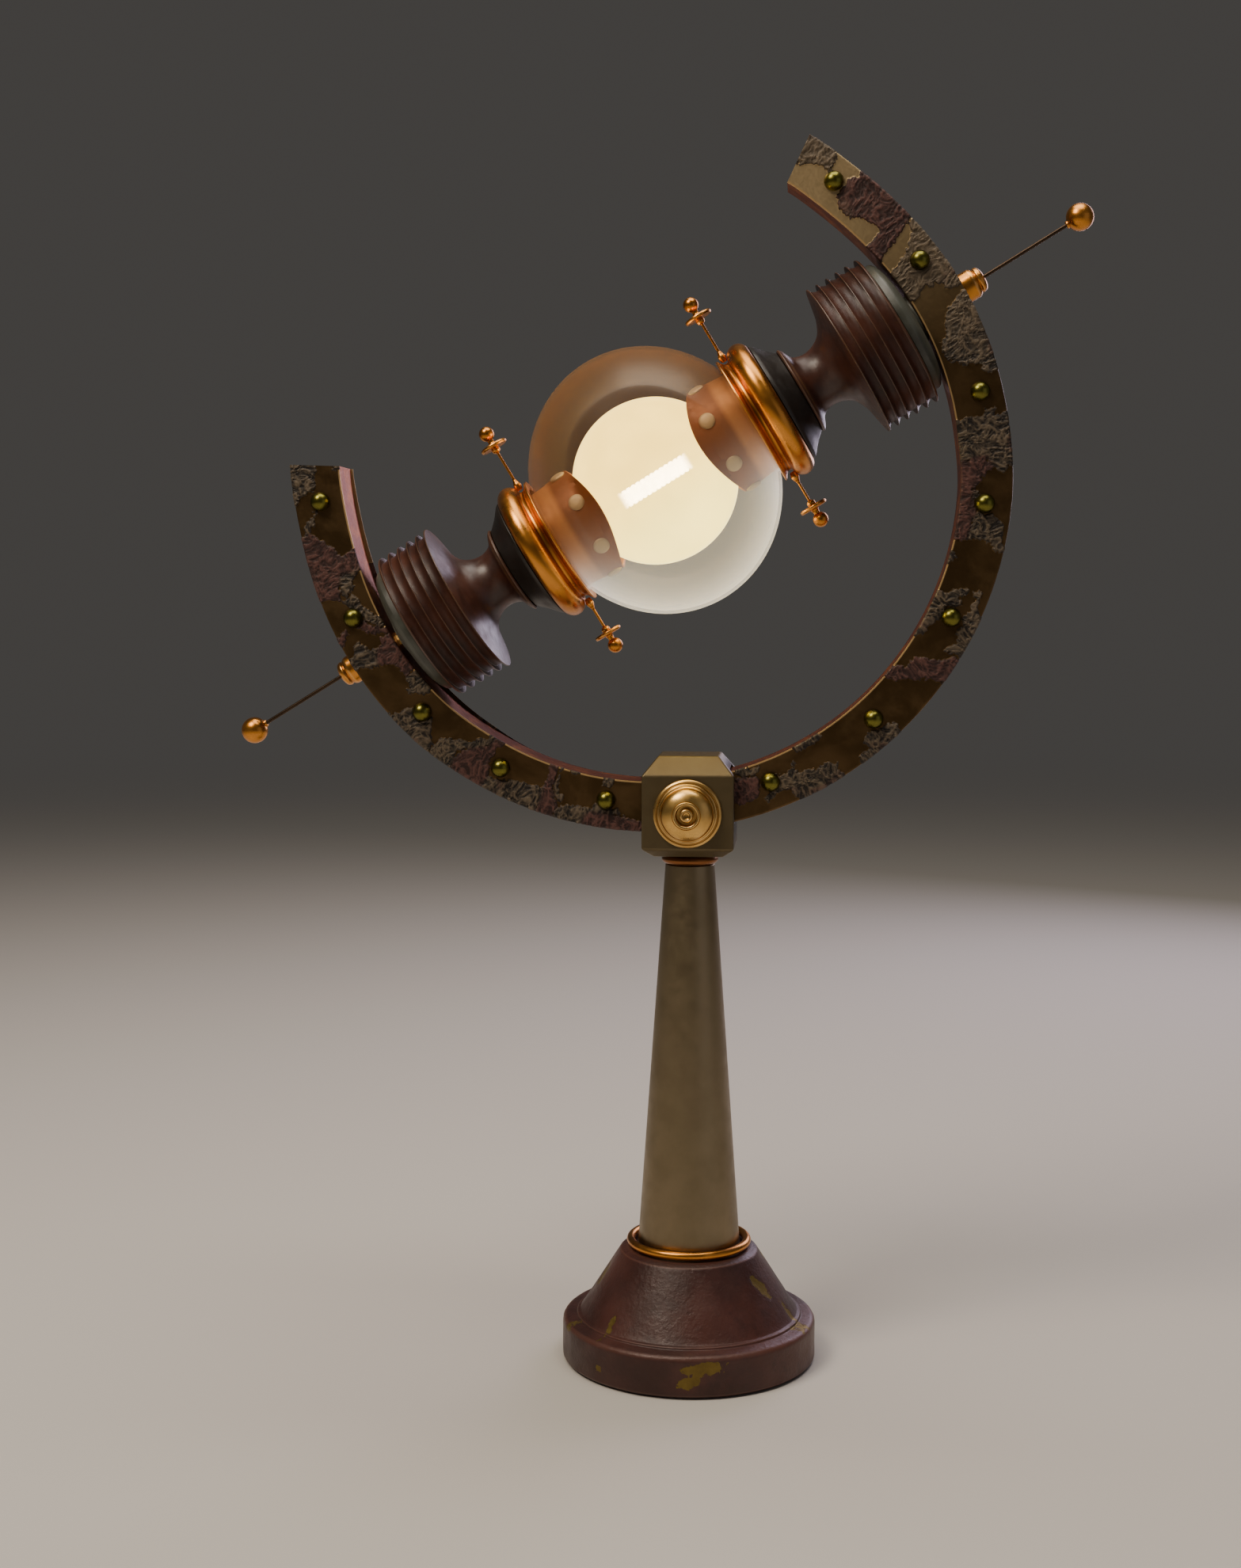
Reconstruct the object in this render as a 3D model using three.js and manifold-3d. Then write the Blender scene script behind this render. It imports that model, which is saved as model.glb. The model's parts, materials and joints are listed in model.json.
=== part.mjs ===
// A table radiometer on a turned stand: a weighted base and tapered column carry a block,
// a C-shaped arc slides through the block, and a sealed globe with its lamp turns on an
// axle between the arc's two bearings. Units are millimetres and degrees, with +Z up.
// X runs along the arc's plane and Y through it, with -Y towards the clamp knob's side.

import * as THREE from 'three';
import { mergeVertices } from 'three/addons/utils/BufferGeometryUtils.js';
import Module from 'manifold-3d';

const wasm = await Module();
wasm.setup();

// ---------------------------------------------------------------- driving dimensions

const GAP = 0.3; // space left between neighbours that touch

const BASE_R = 47.6; // plinth radius
const BASE_SIDE_TOP = 15.6; // top of the plinth's rounded edge
const BASE_TOP = 42.4; // flat top of the base's cone
const BASE_TOP_R = 26.8;
const CONE_FOOT_R = 41.4;
const PAD_R = 44.1; // felt pad let into the underside
const PAD_TOP = 1.6;
const TIE_R = 2.9; // rod that clamps base and column together
const TIE_TOP = 181.7;

const FOOT_RING_R = 21.6; // centre line of the ring round the column's foot
const FOOT_RING_TUBE = 1.8;
const COLUMN_FOOT_R = 19.1;
const COLUMN_TOP_R = 9.1;
const COLUMN_TOP = 187.4;
const COLUMN_WALL = 2.8;
const PIN_R = 3.5; // swivel pin between column and block

const BLOCK_HALF = 16.8; // half of the block's square plan
const BLOCK_BOTTOM = 191.2;
const BLOCK_SIDE_BOTTOM = 194.2;
const BLOCK_SIDE_TOP = 221.2;
const BLOCK_TOP = 228.2;
const BLOCK_TOP_HALF = 11.1;
const BLOCK_BOTTOM_HALF = 12.6;
const KNOB_Z = 207.6; // height of the clamp knob's axis
const BOSS_R = 12.5;
const KNOB_R = 10.3;
const SCREW_R = 1.6;

const ARC_CENTRE = [-14.14, 329.82]; // X and Z of the arc's centre
const ARC_OUTER = 129.6;
const ARC_INNER = 111.2;
const ARC_DEPTH = 20.7; // over both face plates
const ARC_HALF_SPAN = 123.3; // the arc runs this far each side of its middle
const ARC_STEPS = 20; // half the number of flats along the arc
const PLATE = 1.2; // brass face plates
const RIVET_HEAD_R = 3.6;
const RIVET_SHANK_R = 1.6;
const RIVET_PROUD = 3.2; // how far a head stands off its plate
// Rivets, as degrees from the arc's middle and distance from its centre. Their ring is centred
// a little off the arc's own centre. The widest space is for the block.
const RIVETS = [
  [-117.1, 121.9],
  [-96.2, 121.4],
  [-75.8, 120.6],
  [-58.8, 120.1],
  [-39.2, 119.3],
  [-9.8, 119.4],
  [11.3, 119.5],
  [33.3, 119.8],
  [53.5, 120.1],
  [72.4, 120.8],
  [96.7, 121.3],
  [116.3, 121.6],
];

const LAMP_TILT = 31.4; // the lamp axis above the horizontal
const LAMP_OFFSET = 1.95; // the lamp axis lies this far from the arc's centre, towards its middle
const AXLE_R = 2;
const AERIAL_R = 0.7; // thin rod outside the arc
const BUSH_R = 3.4;
const BALL_AT = 177; // end ball from the lamp's centre
const BALL_R = 5;

const GLOBE_AXIAL = 45.2; // half of the globe's length along the lamp axis
const GLOBE_RADIAL = 49.6;
const GLASS = 1.2;
const GLOBE_SHOULDER = 39.6; // where the glass turns into its neck
const NECK_R = 21.3; // the glass neck sits in the collar
const NECK_END = 45;
const BULB_R = 30.4;
const BULB_END_R = 6.5; // opening at each end of the bulb
const FILAMENT_HALF = 15;
const FILAMENT_R = 3.4;
const CAP_RIM = 26.2; // mouth of a globe cap, at its sides
const CAP_LIP = 20.5; // the same in front and behind, where it laps over the bulb
const CAP_R = 20.8;
const CAP_BACK_R = 19.4;
const CAP_GAP = 0.5; // between the bulb and a cap's lips
const COLLAR_IN = 40.8; // thin flange of the collar
const COLLAR_OUT = 53;
const CONE_END = 61;
const FLANGE_AT = 81.9;
const FLANGE_R = 29.4;
const RIDGE_R = 29.1;
const VALLEY_R = 27.1;
const RIDGE_PITCH = 3.98;
const RIDGES = 5;
const SLEEVE_END = 102.2;
const CUP_R = 25.4; // bearing cup between insulator and arc

const FINIAL_AT = 44; // finials stand in the collars' grooves
const FINIAL_LONG = 47.3; // lamp axis to ball centre, on the arc's open side
const FINIAL_SHORT = 43.5; // the same, on the block's side
const FINIAL_BALL_R = 2.8;

const WIDE_ROUND = 28; // flats round the base
const ROUND = 18; // flats round a turned part
const SMALL_ROUND = 10; // flats round a thin one

// ---------------------------------------------------------------- materials

const FINISHES = {
  felt: [0x2b2422, 0.95, 0],
  oxbloodPaint: [0x4a2a24, 0.5, 0.1],
  copper: [0xb4703a, 0.28, 1],
  pewter: [0x8f8574, 0.4, 0.9],
  steel: [0x8c8f92, 0.35, 1],
  olivePaint: [0x6d6a5a, 0.45, 0.3],
  goldBrass: [0xc79a55, 0.25, 1],
  agedBrass: [0x8b6b35, 0.4, 0.9],
  greenBrass: [0x9c9440, 0.25, 1],
  enamel: [0x8d928a, 0.4, 0],
  oxbloodCeramic: [0x3f2622, 0.35, 0],
  blackCeramic: [0x201c18, 0.4, 0],
  clearGlass: [0xb9a58c, 0.05, 0],
  frostedGlass: [0xfff2cf, 0.6, 0],
  filament: [0xffffff, 0.5, 0],
};

function finish(name) {
  const [color, roughness, metalness] = FINISHES[name];
  return new THREE.MeshStandardMaterial({ color, roughness, metalness });
}

// ---------------------------------------------------------------- shape helpers

const radians = THREE.MathUtils.degToRad;

// Turns [radius, height] points round +Z. An open outline starts and ends on the axis;
// closed = true joins the last point to the first and makes a ring.
function turned(outline, segments = ROUND, closed = false) {
  const points = outline.map(([r, h]) => new THREE.Vector2(r, h));
  if (closed) points.push(points[0].clone());
  return new THREE.LatheGeometry(points, segments).rotateX(Math.PI / 2);
}

function ring(outline, segments = ROUND) {
  return turned(outline, segments, true);
}

// Points on an ellipse round (r, h) from one angle to another, in degrees.
function bend(r, h, radiusR, radiusH, from, to, steps) {
  const points = [];
  for (let i = 0; i <= steps; i += 1) {
    const a = radians(from + ((to - from) * i) / steps);
    points.push([r + radiusR * Math.cos(a), h + radiusH * Math.sin(a)]);
  }
  return points;
}

// The same outline on the other side of height 0, in the order that continues it.
function mirrored(outline) {
  return outline.map(([r, h]) => [r, -h]).reverse();
}

// A bar bent round the origin in the XZ plane, from one radius to another, centred on Y = 0.
function bentBar(inner, outer, halfSpan, depth, holes = []) {
  const shape = new THREE.Shape();
  shape.absarc(0, 0, outer, radians(-halfSpan), radians(halfSpan), false);
  shape.absarc(0, 0, inner, radians(halfSpan), radians(-halfSpan), true);
  shape.closePath();
  shape.holes = holes;
  const options = { depth, bevelEnabled: false, curveSegments: ARC_STEPS };
  const bar = new THREE.ExtrudeGeometry(shape, options);
  return bar.rotateX(Math.PI / 2).translate(0, depth / 2, 0);
}

function roundHole(x, y, radius, sides) {
  const points = [];
  for (let i = 0; i < sides; i += 1) {
    const a = (-2 * Math.PI * i) / sides;
    points.push(new THREE.Vector2(x + radius * Math.cos(a), y + radius * Math.sin(a)));
  }
  return new THREE.Path(points);
}

function toSolid(geometry) {
  const bare = geometry.clone();
  bare.deleteAttribute('normal');
  bare.deleteAttribute('uv');
  const merged = mergeVertices(bare, 1e-4);
  return new wasm.Manifold(new wasm.Mesh({
    numProp: 3,
    vertProperties: new Float32Array(merged.attributes.position.array),
    triVerts: new Uint32Array(merged.index.array),
  }));
}

function cut(geometry, ...cutters) {
  let solid = toSolid(geometry);
  for (const cutter of cutters) solid = solid.subtract(toSolid(cutter));
  const mesh = solid.getMesh();
  const result = new THREE.BufferGeometry();
  result.setAttribute('position', new THREE.BufferAttribute(mesh.vertProperties, 3));
  result.setIndex(new THREE.BufferAttribute(mesh.triVerts, 1));
  return result;
}

function cylinder(radius, from, to, segments = SMALL_ROUND) {
  return turned([[0, from], [radius, from], [radius, to], [0, to]], segments);
}

function box(xs, ys, zs) {
  const geometry = new THREE.BoxGeometry(xs[1] - xs[0], ys[1] - ys[0], zs[1] - zs[0]);
  return geometry.translate((xs[0] + xs[1]) / 2, (ys[0] + ys[1]) / 2, (zs[0] + zs[1]) / 2);
}

function part(group, name, geometry, finishName) {
  const mesh = new THREE.Mesh(geometry, finish(finishName));
  mesh.name = name;
  group.add(mesh);
  return mesh;
}

// ---------------------------------------------------------------- stand

const UNDERSIDE = 0.6; // the base's rim stands this far above the felt's face
const PAD_SEAT = PAD_TOP + GAP;
const NUT_POCKET_R = 9;
const NUT_POCKET_TOP = 9.5;

function baseOutline() {
  return [
    [TIE_R + 0.4, NUT_POCKET_TOP],
    [NUT_POCKET_R, NUT_POCKET_TOP],
    [NUT_POCKET_R, PAD_SEAT],
    [PAD_R + GAP, PAD_SEAT],
    [PAD_R + GAP, UNDERSIDE],
    [BASE_R - 1, UNDERSIDE],
    [BASE_R, UNDERSIDE + 1],
    ...bend(BASE_R - 2.6, BASE_SIDE_TOP - 2.6, 2.6, 2.6, 0, 80, 3),
    [CONE_FOOT_R, BASE_SIDE_TOP + 0.6],
    ...bend(BASE_TOP_R - 1.4, BASE_TOP - 1.6, 2, 1.6, 20, 90, 2),
    [TIE_R + 0.4, BASE_TOP],
  ];
}

function columnOutline() {
  const foot = BASE_TOP + GAP;
  const capUnder = COLUMN_TOP - 4;
  const boreR = PIN_R + 0.4;
  return [
    [COLUMN_FOOT_R, foot],
    [COLUMN_TOP_R, COLUMN_TOP],
    [boreR, COLUMN_TOP],
    [boreR, capUnder],
    [COLUMN_TOP_R - COLUMN_WALL, capUnder],
    [COLUMN_FOOT_R - COLUMN_WALL, foot],
  ];
}

// The pin's flange sits under the column's cap and the tie rod screws into it from below.
function swivelPinOutline() {
  const flangeR = 5.4;
  const flangeTop = COLUMN_TOP - 4.3;
  const flangeBottom = flangeTop - 3.6;
  return [
    [0, TIE_TOP + GAP],
    [TIE_R + 0.4, TIE_TOP + GAP],
    [TIE_R + 0.4, flangeBottom],
    [flangeR, flangeBottom],
    [flangeR, flangeTop],
    [PIN_R, flangeTop],
    [PIN_R, BLOCK_BOTTOM + 7],
    [0, BLOCK_BOTTOM + 7],
  ];
}

function hexNut(cornerR, boreR, from, to) {
  const bore = cylinder(boreR, from - 1, to + 1, SMALL_ROUND);
  return cut(cylinder(cornerR, from, to, 6), bore);
}

function addStand(root) {
  part(root, 'base_pad', cylinder(PAD_R, 0, PAD_TOP, WIDE_ROUND), 'felt');
  part(root, 'base', ring(baseOutline(), WIDE_ROUND), 'oxbloodPaint');
  const ringZ = BASE_TOP + GAP + FOOT_RING_TUBE;
  const ringSection = bend(FOOT_RING_R, ringZ, FOOT_RING_TUBE, FOOT_RING_TUBE, 0, 300, 5);
  part(root, 'foot_ring', ring(ringSection, WIDE_ROUND), 'copper');
  part(root, 'column', ring(columnOutline()), 'pewter');
  part(root, 'tie_rod', cylinder(TIE_R, 2.6, TIE_TOP), 'steel');
  part(root, 'tie_nut', hexNut(5.8, TIE_R + 0.4, 3.4, 7.6), 'steel');
  const washer = [[TIE_R + 0.4, 7.9], [7.5, 7.9], [7.5, 9.2], [TIE_R + 0.4, 9.2]];
  part(root, 'tie_washer', ring(washer, SMALL_ROUND), 'steel');
  part(root, 'swivel_pin', turned(swivelPinOutline(), SMALL_ROUND), 'steel');
  const nutZ = BLOCK_BOTTOM + 4;
  part(root, 'swivel_nut', hexNut(6, PIN_R + 0.4, nutZ, nutZ + 2.6), 'steel');
}

// ---------------------------------------------------------------- head: the block

const SLIDE_GAP = 0.7; // radial room for the arc in the block
const FACE_GAP = 0.4; // room at each of the arc's faces
const GROOVE_R = 119.7; // middle of the groove the rivet heads pass along
const GROOVE_HALF = RIVET_HEAD_R + 1.2;
const GROOVE_Y = ARC_DEPTH / 2 + RIVET_PROUD + 0.5;
const SHOE_FRONT_Y = 0.7; // the shoe ends this far behind the block's face

// A turned outline with four sides is a square prism, so radii are scaled to its corners.
function squareTurned(outline) {
  const corner = Math.SQRT2;
  const points = outline.map(([half, z]) => [half * corner, z]);
  return turned(points, 4).rotateZ(Math.PI / 4);
}

function atArcCentre(geometry) {
  return geometry.rotateY(radians(90 - LAMP_TILT)).translate(ARC_CENTRE[0], 0, ARC_CENTRE[1]);
}

function rivetGroove() {
  const span = 60;
  const depth = 2 * GROOVE_Y;
  const bar = bentBar(GROOVE_R - GROOVE_HALF, GROOVE_R + GROOVE_HALF, span, depth);
  return atArcCentre(bar);
}

function blockGeometry() {
  const blank = squareTurned([
    [0, BLOCK_BOTTOM],
    [BLOCK_BOTTOM_HALF, BLOCK_BOTTOM],
    [BLOCK_HALF, BLOCK_SIDE_BOTTOM],
    [BLOCK_HALF, BLOCK_SIDE_TOP],
    [BLOCK_TOP_HALF, BLOCK_TOP],
    [0, BLOCK_TOP],
  ]);
  const span = 60;
  const channelDepth = ARC_DEPTH + 2 * FACE_GAP;
  const channel = bentBar(ARC_INNER - SLIDE_GAP, ARC_OUTER + SLIDE_GAP, span, channelDepth);
  const pinBore = cylinder(PIN_R + 0.4, BLOCK_BOTTOM - 1, KNOB_Z, 16);
  const nutPocket = cylinder(6.9, BLOCK_BOTTOM + 3.6, KNOB_Z, 16);
  const shoePocket = box([-7.2, 7.2], [-BLOCK_HALF - 1, -ARC_DEPTH / 2], [200.2, 216.9]);
  return cut(blank, atArcCentre(channel), rivetGroove(), pinBore, nutPocket, shoePocket);
}

// The shoe bridges the rivet groove and presses on the arc's face plate either side of it.
function shoeGeometry() {
  const front = -BLOCK_HALF + SHOE_FRONT_Y;
  const blank = box([-6.8, 6.8], [front, -ARC_DEPTH / 2 - GAP], [200.9, 216.4]);
  return cut(blank, rivetGroove());
}

function addHead(root) {
  const head = new THREE.Group();
  root.add(head);
  const collarBottom = COLUMN_TOP + GAP;
  const collarTop = BLOCK_BOTTOM - GAP;
  const collar = [
    [PIN_R + 0.4, collarBottom],
    [COLUMN_TOP_R + 0.5, collarBottom],
    ...bend(COLUMN_TOP_R + 0.5, (collarBottom + collarTop) / 2, 1, 1.6, -80, 80, 3),
    [COLUMN_TOP_R + 0.5, collarTop],
    [PIN_R + 0.4, collarTop],
  ];
  part(head, 'top_collar', ring(collar), 'copper');
  part(head, 'block', blockGeometry(), 'olivePaint');
  part(head, 'clamp_shoe', shoeGeometry(), 'goldBrass');
  const boss = [
    [SCREW_R + 0.4, GAP],
    [BOSS_R, GAP],
    [BOSS_R, 1.1],
    [BOSS_R - 0.6, 1.7],
    [KNOB_R + 1, 1.7],
    [KNOB_R + 0.6, 2.4],
    [SCREW_R + 0.4, 2.4],
  ];
  onBlockFace(head, part(head, 'clamp_boss', ring(boss), 'goldBrass'));
}

// Lays a part turned round +Z onto the block's front face, pointing along -Y.
function onBlockFace(group, mesh) {
  mesh.position.set(0, -BLOCK_HALF, KNOB_Z);
  mesh.rotation.x = Math.PI / 2;
  return mesh;
}

function addKnob(root) {
  const recessR = 4;
  const recessFloor = 5.2;
  const lip = 8.6;
  const knob = [
    [SCREW_R + 0.4, 2.7],
    [KNOB_R, 2.7],
    [KNOB_R, 3.7],
    ...bend(0, 3.9, KNOB_R - 0.3, 4.7, 0, 62, 4),
    [recessR, lip],
    [recessR, recessFloor],
    [SCREW_R + 0.4, recessFloor],
  ];
  onBlockFace(root, part(root, 'clamp_knob', ring(knob), 'goldBrass'));
  const tip = -SHOE_FRONT_Y + GAP;
  const headFoot = recessFloor + GAP;
  const screw = [
    [0, tip],
    [SCREW_R, tip],
    [SCREW_R, headFoot],
    [2.5, headFoot],
    [2.5, 7.6],
    [1.9, 8.2],
    [1.2, 8.2],
    [0.9, 7.5],
    [0, 7.3],
  ];
  onBlockFace(root, part(root, 'clamp_screw', turned(screw, SMALL_ROUND), 'goldBrass'));
}

// ---------------------------------------------------------------- arc

const CORE_DEPTH = ARC_DEPTH - 2 * PLATE - 2 * GAP;

function rivetPlace([angle, r]) {
  const a = radians(angle);
  return [r * Math.cos(a), r * Math.sin(a)];
}

function rivetHoles() {
  return RIVETS.map((rivet) => roundHole(...rivetPlace(rivet), RIVET_SHANK_R + 0.4, 6));
}

function arcCore() {
  const bar = bentBar(ARC_INNER, ARC_OUTER, ARC_HALF_SPAN, CORE_DEPTH, rivetHoles());
  const bushHole = cylinder(BUSH_R + 0.4, -2 * ARC_OUTER, 2 * ARC_OUTER, 16);
  return cut(bar, bushHole.translate(LAMP_OFFSET, 0, 0));
}

// One rivet passes right through the arc and has a ball head on each face.
function rivetOutline() {
  const face = ARC_DEPTH / 2 + 0.05;
  const headCentre = face + RIVET_PROUD - RIVET_HEAD_R;
  const front = bend(0, headCentre, RIVET_HEAD_R, RIVET_HEAD_R, 8, 90, 2);
  front[front.length - 1][0] = 0;
  return [
    ...mirrored(front),
    [RIVET_HEAD_R - 0.25, -face],
    [RIVET_SHANK_R, -face],
    [RIVET_SHANK_R, face],
    [RIVET_HEAD_R - 0.25, face],
    ...front,
  ];
}

// The lamp axis has the same pieces at both ends: addEnd(group, side) builds one of them
// along local +Z, measured from the lamp's centre.
function addEnds(lampFrame, addEnd) {
  for (const [side, turn] of [['right', 0], ['left', Math.PI]]) {
    const end = new THREE.Group();
    end.rotation.y = turn;
    lampFrame.add(end);
    addEnd(end, side);
  }
}

function lampFrame(tilt) {
  const frame = new THREE.Group();
  frame.position.x = LAMP_OFFSET;
  tilt.add(frame);
  return frame;
}

function addArc(tilt) {
  const arc = new THREE.Group();
  tilt.add(arc);
  part(arc, 'arc_core', arcCore(), 'copper');
  const plateY = (ARC_DEPTH - PLATE) / 2;
  for (const [name, side] of [['arc_front_plate', -1], ['arc_back_plate', 1]]) {
    const plate = bentBar(ARC_INNER, ARC_OUTER, ARC_HALF_SPAN, PLATE, rivetHoles());
    part(arc, name, plate, 'agedBrass').position.y = side * plateY;
  }
  RIVETS.forEach((place, i) => {
    const number = String(i + 1).padStart(2, '0');
    const rivet = part(arc, `arc_rivet_${number}`, turned(rivetOutline(), 8), 'greenBrass');
    const [x, z] = rivetPlace(place);
    rivet.position.set(x, 0, z);
    rivet.rotation.x = Math.PI / 2;
  });
  addEnds(lampFrame(arc), addBearing);
}

// ---------------------------------------------------------------- bearings in the arc

function bearingCupOutline() {
  const inner = SLEEVE_END + 0.4;
  const seat = 110.2;
  return [
    [BUSH_R + 0.4, inner],
    [CUP_R, inner],
    [CUP_R, inner + 1.6],
    ...bend(12, inner + 1.6, CUP_R - 12, 108.6 - inner - 1.6, 18, 90, 4),
    [9, 109],
    [9, seat],
    [BUSH_R + 0.4, seat],
  ];
}

function terminalNutOutline() {
  const seat = 130.1;
  const boreEnd = seat + 5.2;
  const aerialBore = AERIAL_R + 0.4;
  return [
    [BUSH_R + 0.4, seat],
    [5.5, seat],
    [5.4, seat + 3.4],
    [5, seat + 4.4],
    [4.5, seat + 4.7],
    [4.8, seat + 5.1],
    [4.6, seat + 6.5],
    [3.4, seat + 7.8],
    [aerialBore, seat + 7.8],
    [aerialBore, boreEnd],
    [BUSH_R + 0.4, boreEnd],
  ];
}

function addBearing(end, side) {
  const bush = [
    [AXLE_R + 0.35, 104],
    [BUSH_R, 104],
    [BUSH_R, 134.6],
    [AXLE_R + 0.35, 134.6],
  ];
  part(end, `bearing_cup_${side}`, ring(bearingCupOutline()), 'enamel');
  part(end, `bearing_bush_${side}`, ring(bush, SMALL_ROUND), 'goldBrass');
  part(end, `terminal_nut_${side}`, ring(terminalNutOutline(), SMALL_ROUND), 'copper');
}

// ---------------------------------------------------------------- lamp: everything that spins

function axleOutline() {
  const aerialStart = 134.2;
  const aerialEnd = BALL_AT - 2.4;
  return [
    [0, 47.6],
    [AXLE_R, 47.6],
    [AXLE_R, aerialStart],
    [AERIAL_R, aerialStart],
    [AERIAL_R, aerialEnd],
    [0, aerialEnd],
  ];
}

// The ball has a blind hole on its inner side for the aerial's end.
function ballOutline() {
  const holeR = AERIAL_R + 0.4;
  const surface = bend(0, BALL_AT, BALL_R, BALL_R, -77, 90, 5);
  surface[surface.length - 1][0] = 0;
  return [[0, BALL_AT - 2], [holeR, BALL_AT - 2], ...surface];
}

// A waisted neck flares into a thin flange, and barbed ridges follow on the sleeve behind it.
function insulatorOutline() {
  const bore = AXLE_R + 0.4;
  const outline = [
    [bore, CONE_END + GAP],
    [16.4, CONE_END + GAP],
    [16.9, 62.1],
    [15.6, 63],
    [11.8, 64.7],
    [10.4, 68.4],
    [10.9, 72.6],
    [13.4, 77],
    [18.5, 79.6],
    [FLANGE_R, FLANGE_AT - 0.3],
    [FLANGE_R, FLANGE_AT + 0.2],
  ];
  for (let i = 1; i <= RIDGES; i += 1) {
    const barb = FLANGE_AT + i * RIDGE_PITCH;
    outline.push([VALLEY_R + 0.9, barb - RIDGE_PITCH + 0.7], [VALLEY_R, barb - 1.2]);
    outline.push([VALLEY_R, barb - 0.2], [RIDGE_R, barb - 0.5], [RIDGE_R, barb - 0.2]);
  }
  outline.push([RIDGE_R - 0.6, SLEEVE_END], [bore, SLEEVE_END]);
  return outline;
}

function coneOutline() {
  const bore = AXLE_R + 0.4;
  const start = COLLAR_OUT + GAP;
  return [
    [bore, start],
    [23.6, start],
    [23.2, start + 1],
    [16.9, CONE_END - 0.8],
    [16.2, CONE_END],
    [bore, CONE_END],
  ];
}

// The collar is a cup that holds the glass and the cap; its bottom seats the axle.
function collarOutline() {
  const seatR = 21.6;
  const floor = 48.5;
  const beadAt = 49.1;
  const bore = AXLE_R + 0.4;
  return [
    [bore, floor],
    [seatR, floor],
    [seatR, COLLAR_IN],
    [24.4, COLLAR_IN],
    [24.4, 41.9],
    [22.8, 42.6],
    [22.3, 44],
    ...bend(22.3, beadAt, 4.5, COLLAR_OUT + 0.4 - beadAt, -78, 65, 6),
    [bore, COLLAR_OUT],
  ];
}

// Cap inside the glass. In front and behind, its mouth widens and laps over the round bulb.
function capOutline() {
  const wall = 1.2;
  const back = 47.2;
  const postBore = 1.5;
  const lipStart = CAP_LIP - 0.3;
  const inside = BULB_R + CAP_GAP;
  const outside = inside + wall;
  const round = (r, heights) => heights.map((h) => [Math.sqrt(r * r - h * h), h]);
  const meet = (r, edge) => Math.sqrt(r * r - edge * edge);
  const outMeet = meet(outside, CAP_R);
  const inMeet = meet(inside, CAP_R - wall);
  const levels = (from, to) => [0, 1, 2, 3].map((i) => from + ((to - from) * i) / 3);
  return [
    ...round(outside, levels(lipStart, outMeet)),
    [CAP_R - 0.3, 31],
    [CAP_BACK_R + 0.3, 38],
    [CAP_BACK_R, back - 3],
    [16.4, back],
    [postBore, back],
    [postBore, back - wall],
    [15.8, back - wall],
    [CAP_BACK_R - wall, back - 3.8],
    [CAP_BACK_R + 0.3 - wall, 38],
    ...round(inside, levels(inMeet, lipStart)),
  ];
}

// The curved edge of the cap's mouth: it reaches furthest over the bulb in front and behind.
function capMouthCutter() {
  const reach = CAP_R + 8;
  const steps = 12;
  const mouth = new THREE.Shape();
  mouth.moveTo(reach, 0);
  for (let i = 0; i <= steps; i += 1) {
    const across = reach * (1 - (2 * i) / steps);
    mouth.lineTo(across, CAP_LIP + (CAP_RIM - CAP_LIP) * (across / CAP_R) ** 2);
  }
  mouth.lineTo(-reach, 0);
  const cutter = new THREE.ExtrudeGeometry(mouth, { depth: 2 * reach, bevelEnabled: false });
  return cutter.translate(0, 0, -reach).rotateX(Math.PI / 2);
}

// Where an ellipse of the given half axes reaches a height, as an angle in degrees.
function angleAtHeight(halfHeight, height) {
  return THREE.MathUtils.radToDeg(Math.asin(height / halfHeight));
}

function globeOutline() {
  const steps = 8;
  const neckInner = NECK_R - 0.7;
  const outer = angleAtHeight(GLOBE_AXIAL, GLOBE_SHOULDER + 0.4);
  const inner = angleAtHeight(GLOBE_AXIAL - GLASS, GLOBE_SHOULDER);
  const outerNeck = [[NECK_R, GLOBE_SHOULDER + 0.9], [NECK_R, NECK_END]];
  const innerNeck = [[neckInner, NECK_END], [neckInner, GLOBE_SHOULDER + 0.2]];
  return [
    ...mirrored(outerNeck),
    ...bend(0, 0, GLOBE_RADIAL, GLOBE_AXIAL, -outer, outer, steps),
    ...outerNeck,
    ...innerNeck,
    ...bend(0, 0, GLOBE_RADIAL - GLASS, GLOBE_AXIAL - GLASS, inner, -inner, steps),
    ...mirrored(innerNeck),
  ];
}

function bulbOutline() {
  const steps = 6;
  const wall = 1;
  const outer = THREE.MathUtils.radToDeg(Math.acos(BULB_END_R / BULB_R));
  const inner = THREE.MathUtils.radToDeg(Math.acos(BULB_END_R / (BULB_R - wall)));
  return [
    ...bend(0, 0, BULB_R, BULB_R, -outer, outer, steps),
    ...bend(0, 0, BULB_R - wall, BULB_R - wall, inner, -inner, steps),
  ];
}

// Ferrule, thin rod, hub, disc and ball turned in one piece, standing up from the lamp axis.
function finialOutline(reach) {
  const foot = 23.4;
  const rodR = 0.5;
  const disc = reach - 5.2;
  const ball = bend(0, reach, FINIAL_BALL_R, FINIAL_BALL_R, -70, 90, 4);
  ball[ball.length - 1][0] = 0;
  return [
    [0, foot],
    [1, foot],
    [1.3, foot + 1],
    [1.5, foot + 2.2],
    [0.9, foot + 3.6],
    [rodR, foot + 4.6],
    [rodR, disc - 2.8],
    [1.6, disc - 2.4],
    [1.6, disc - 0.8],
    [5.2, disc - 0.7],
    [5.2, disc + 0.7],
    [1.2, disc + 0.9],
    ...ball,
  ];
}

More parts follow.
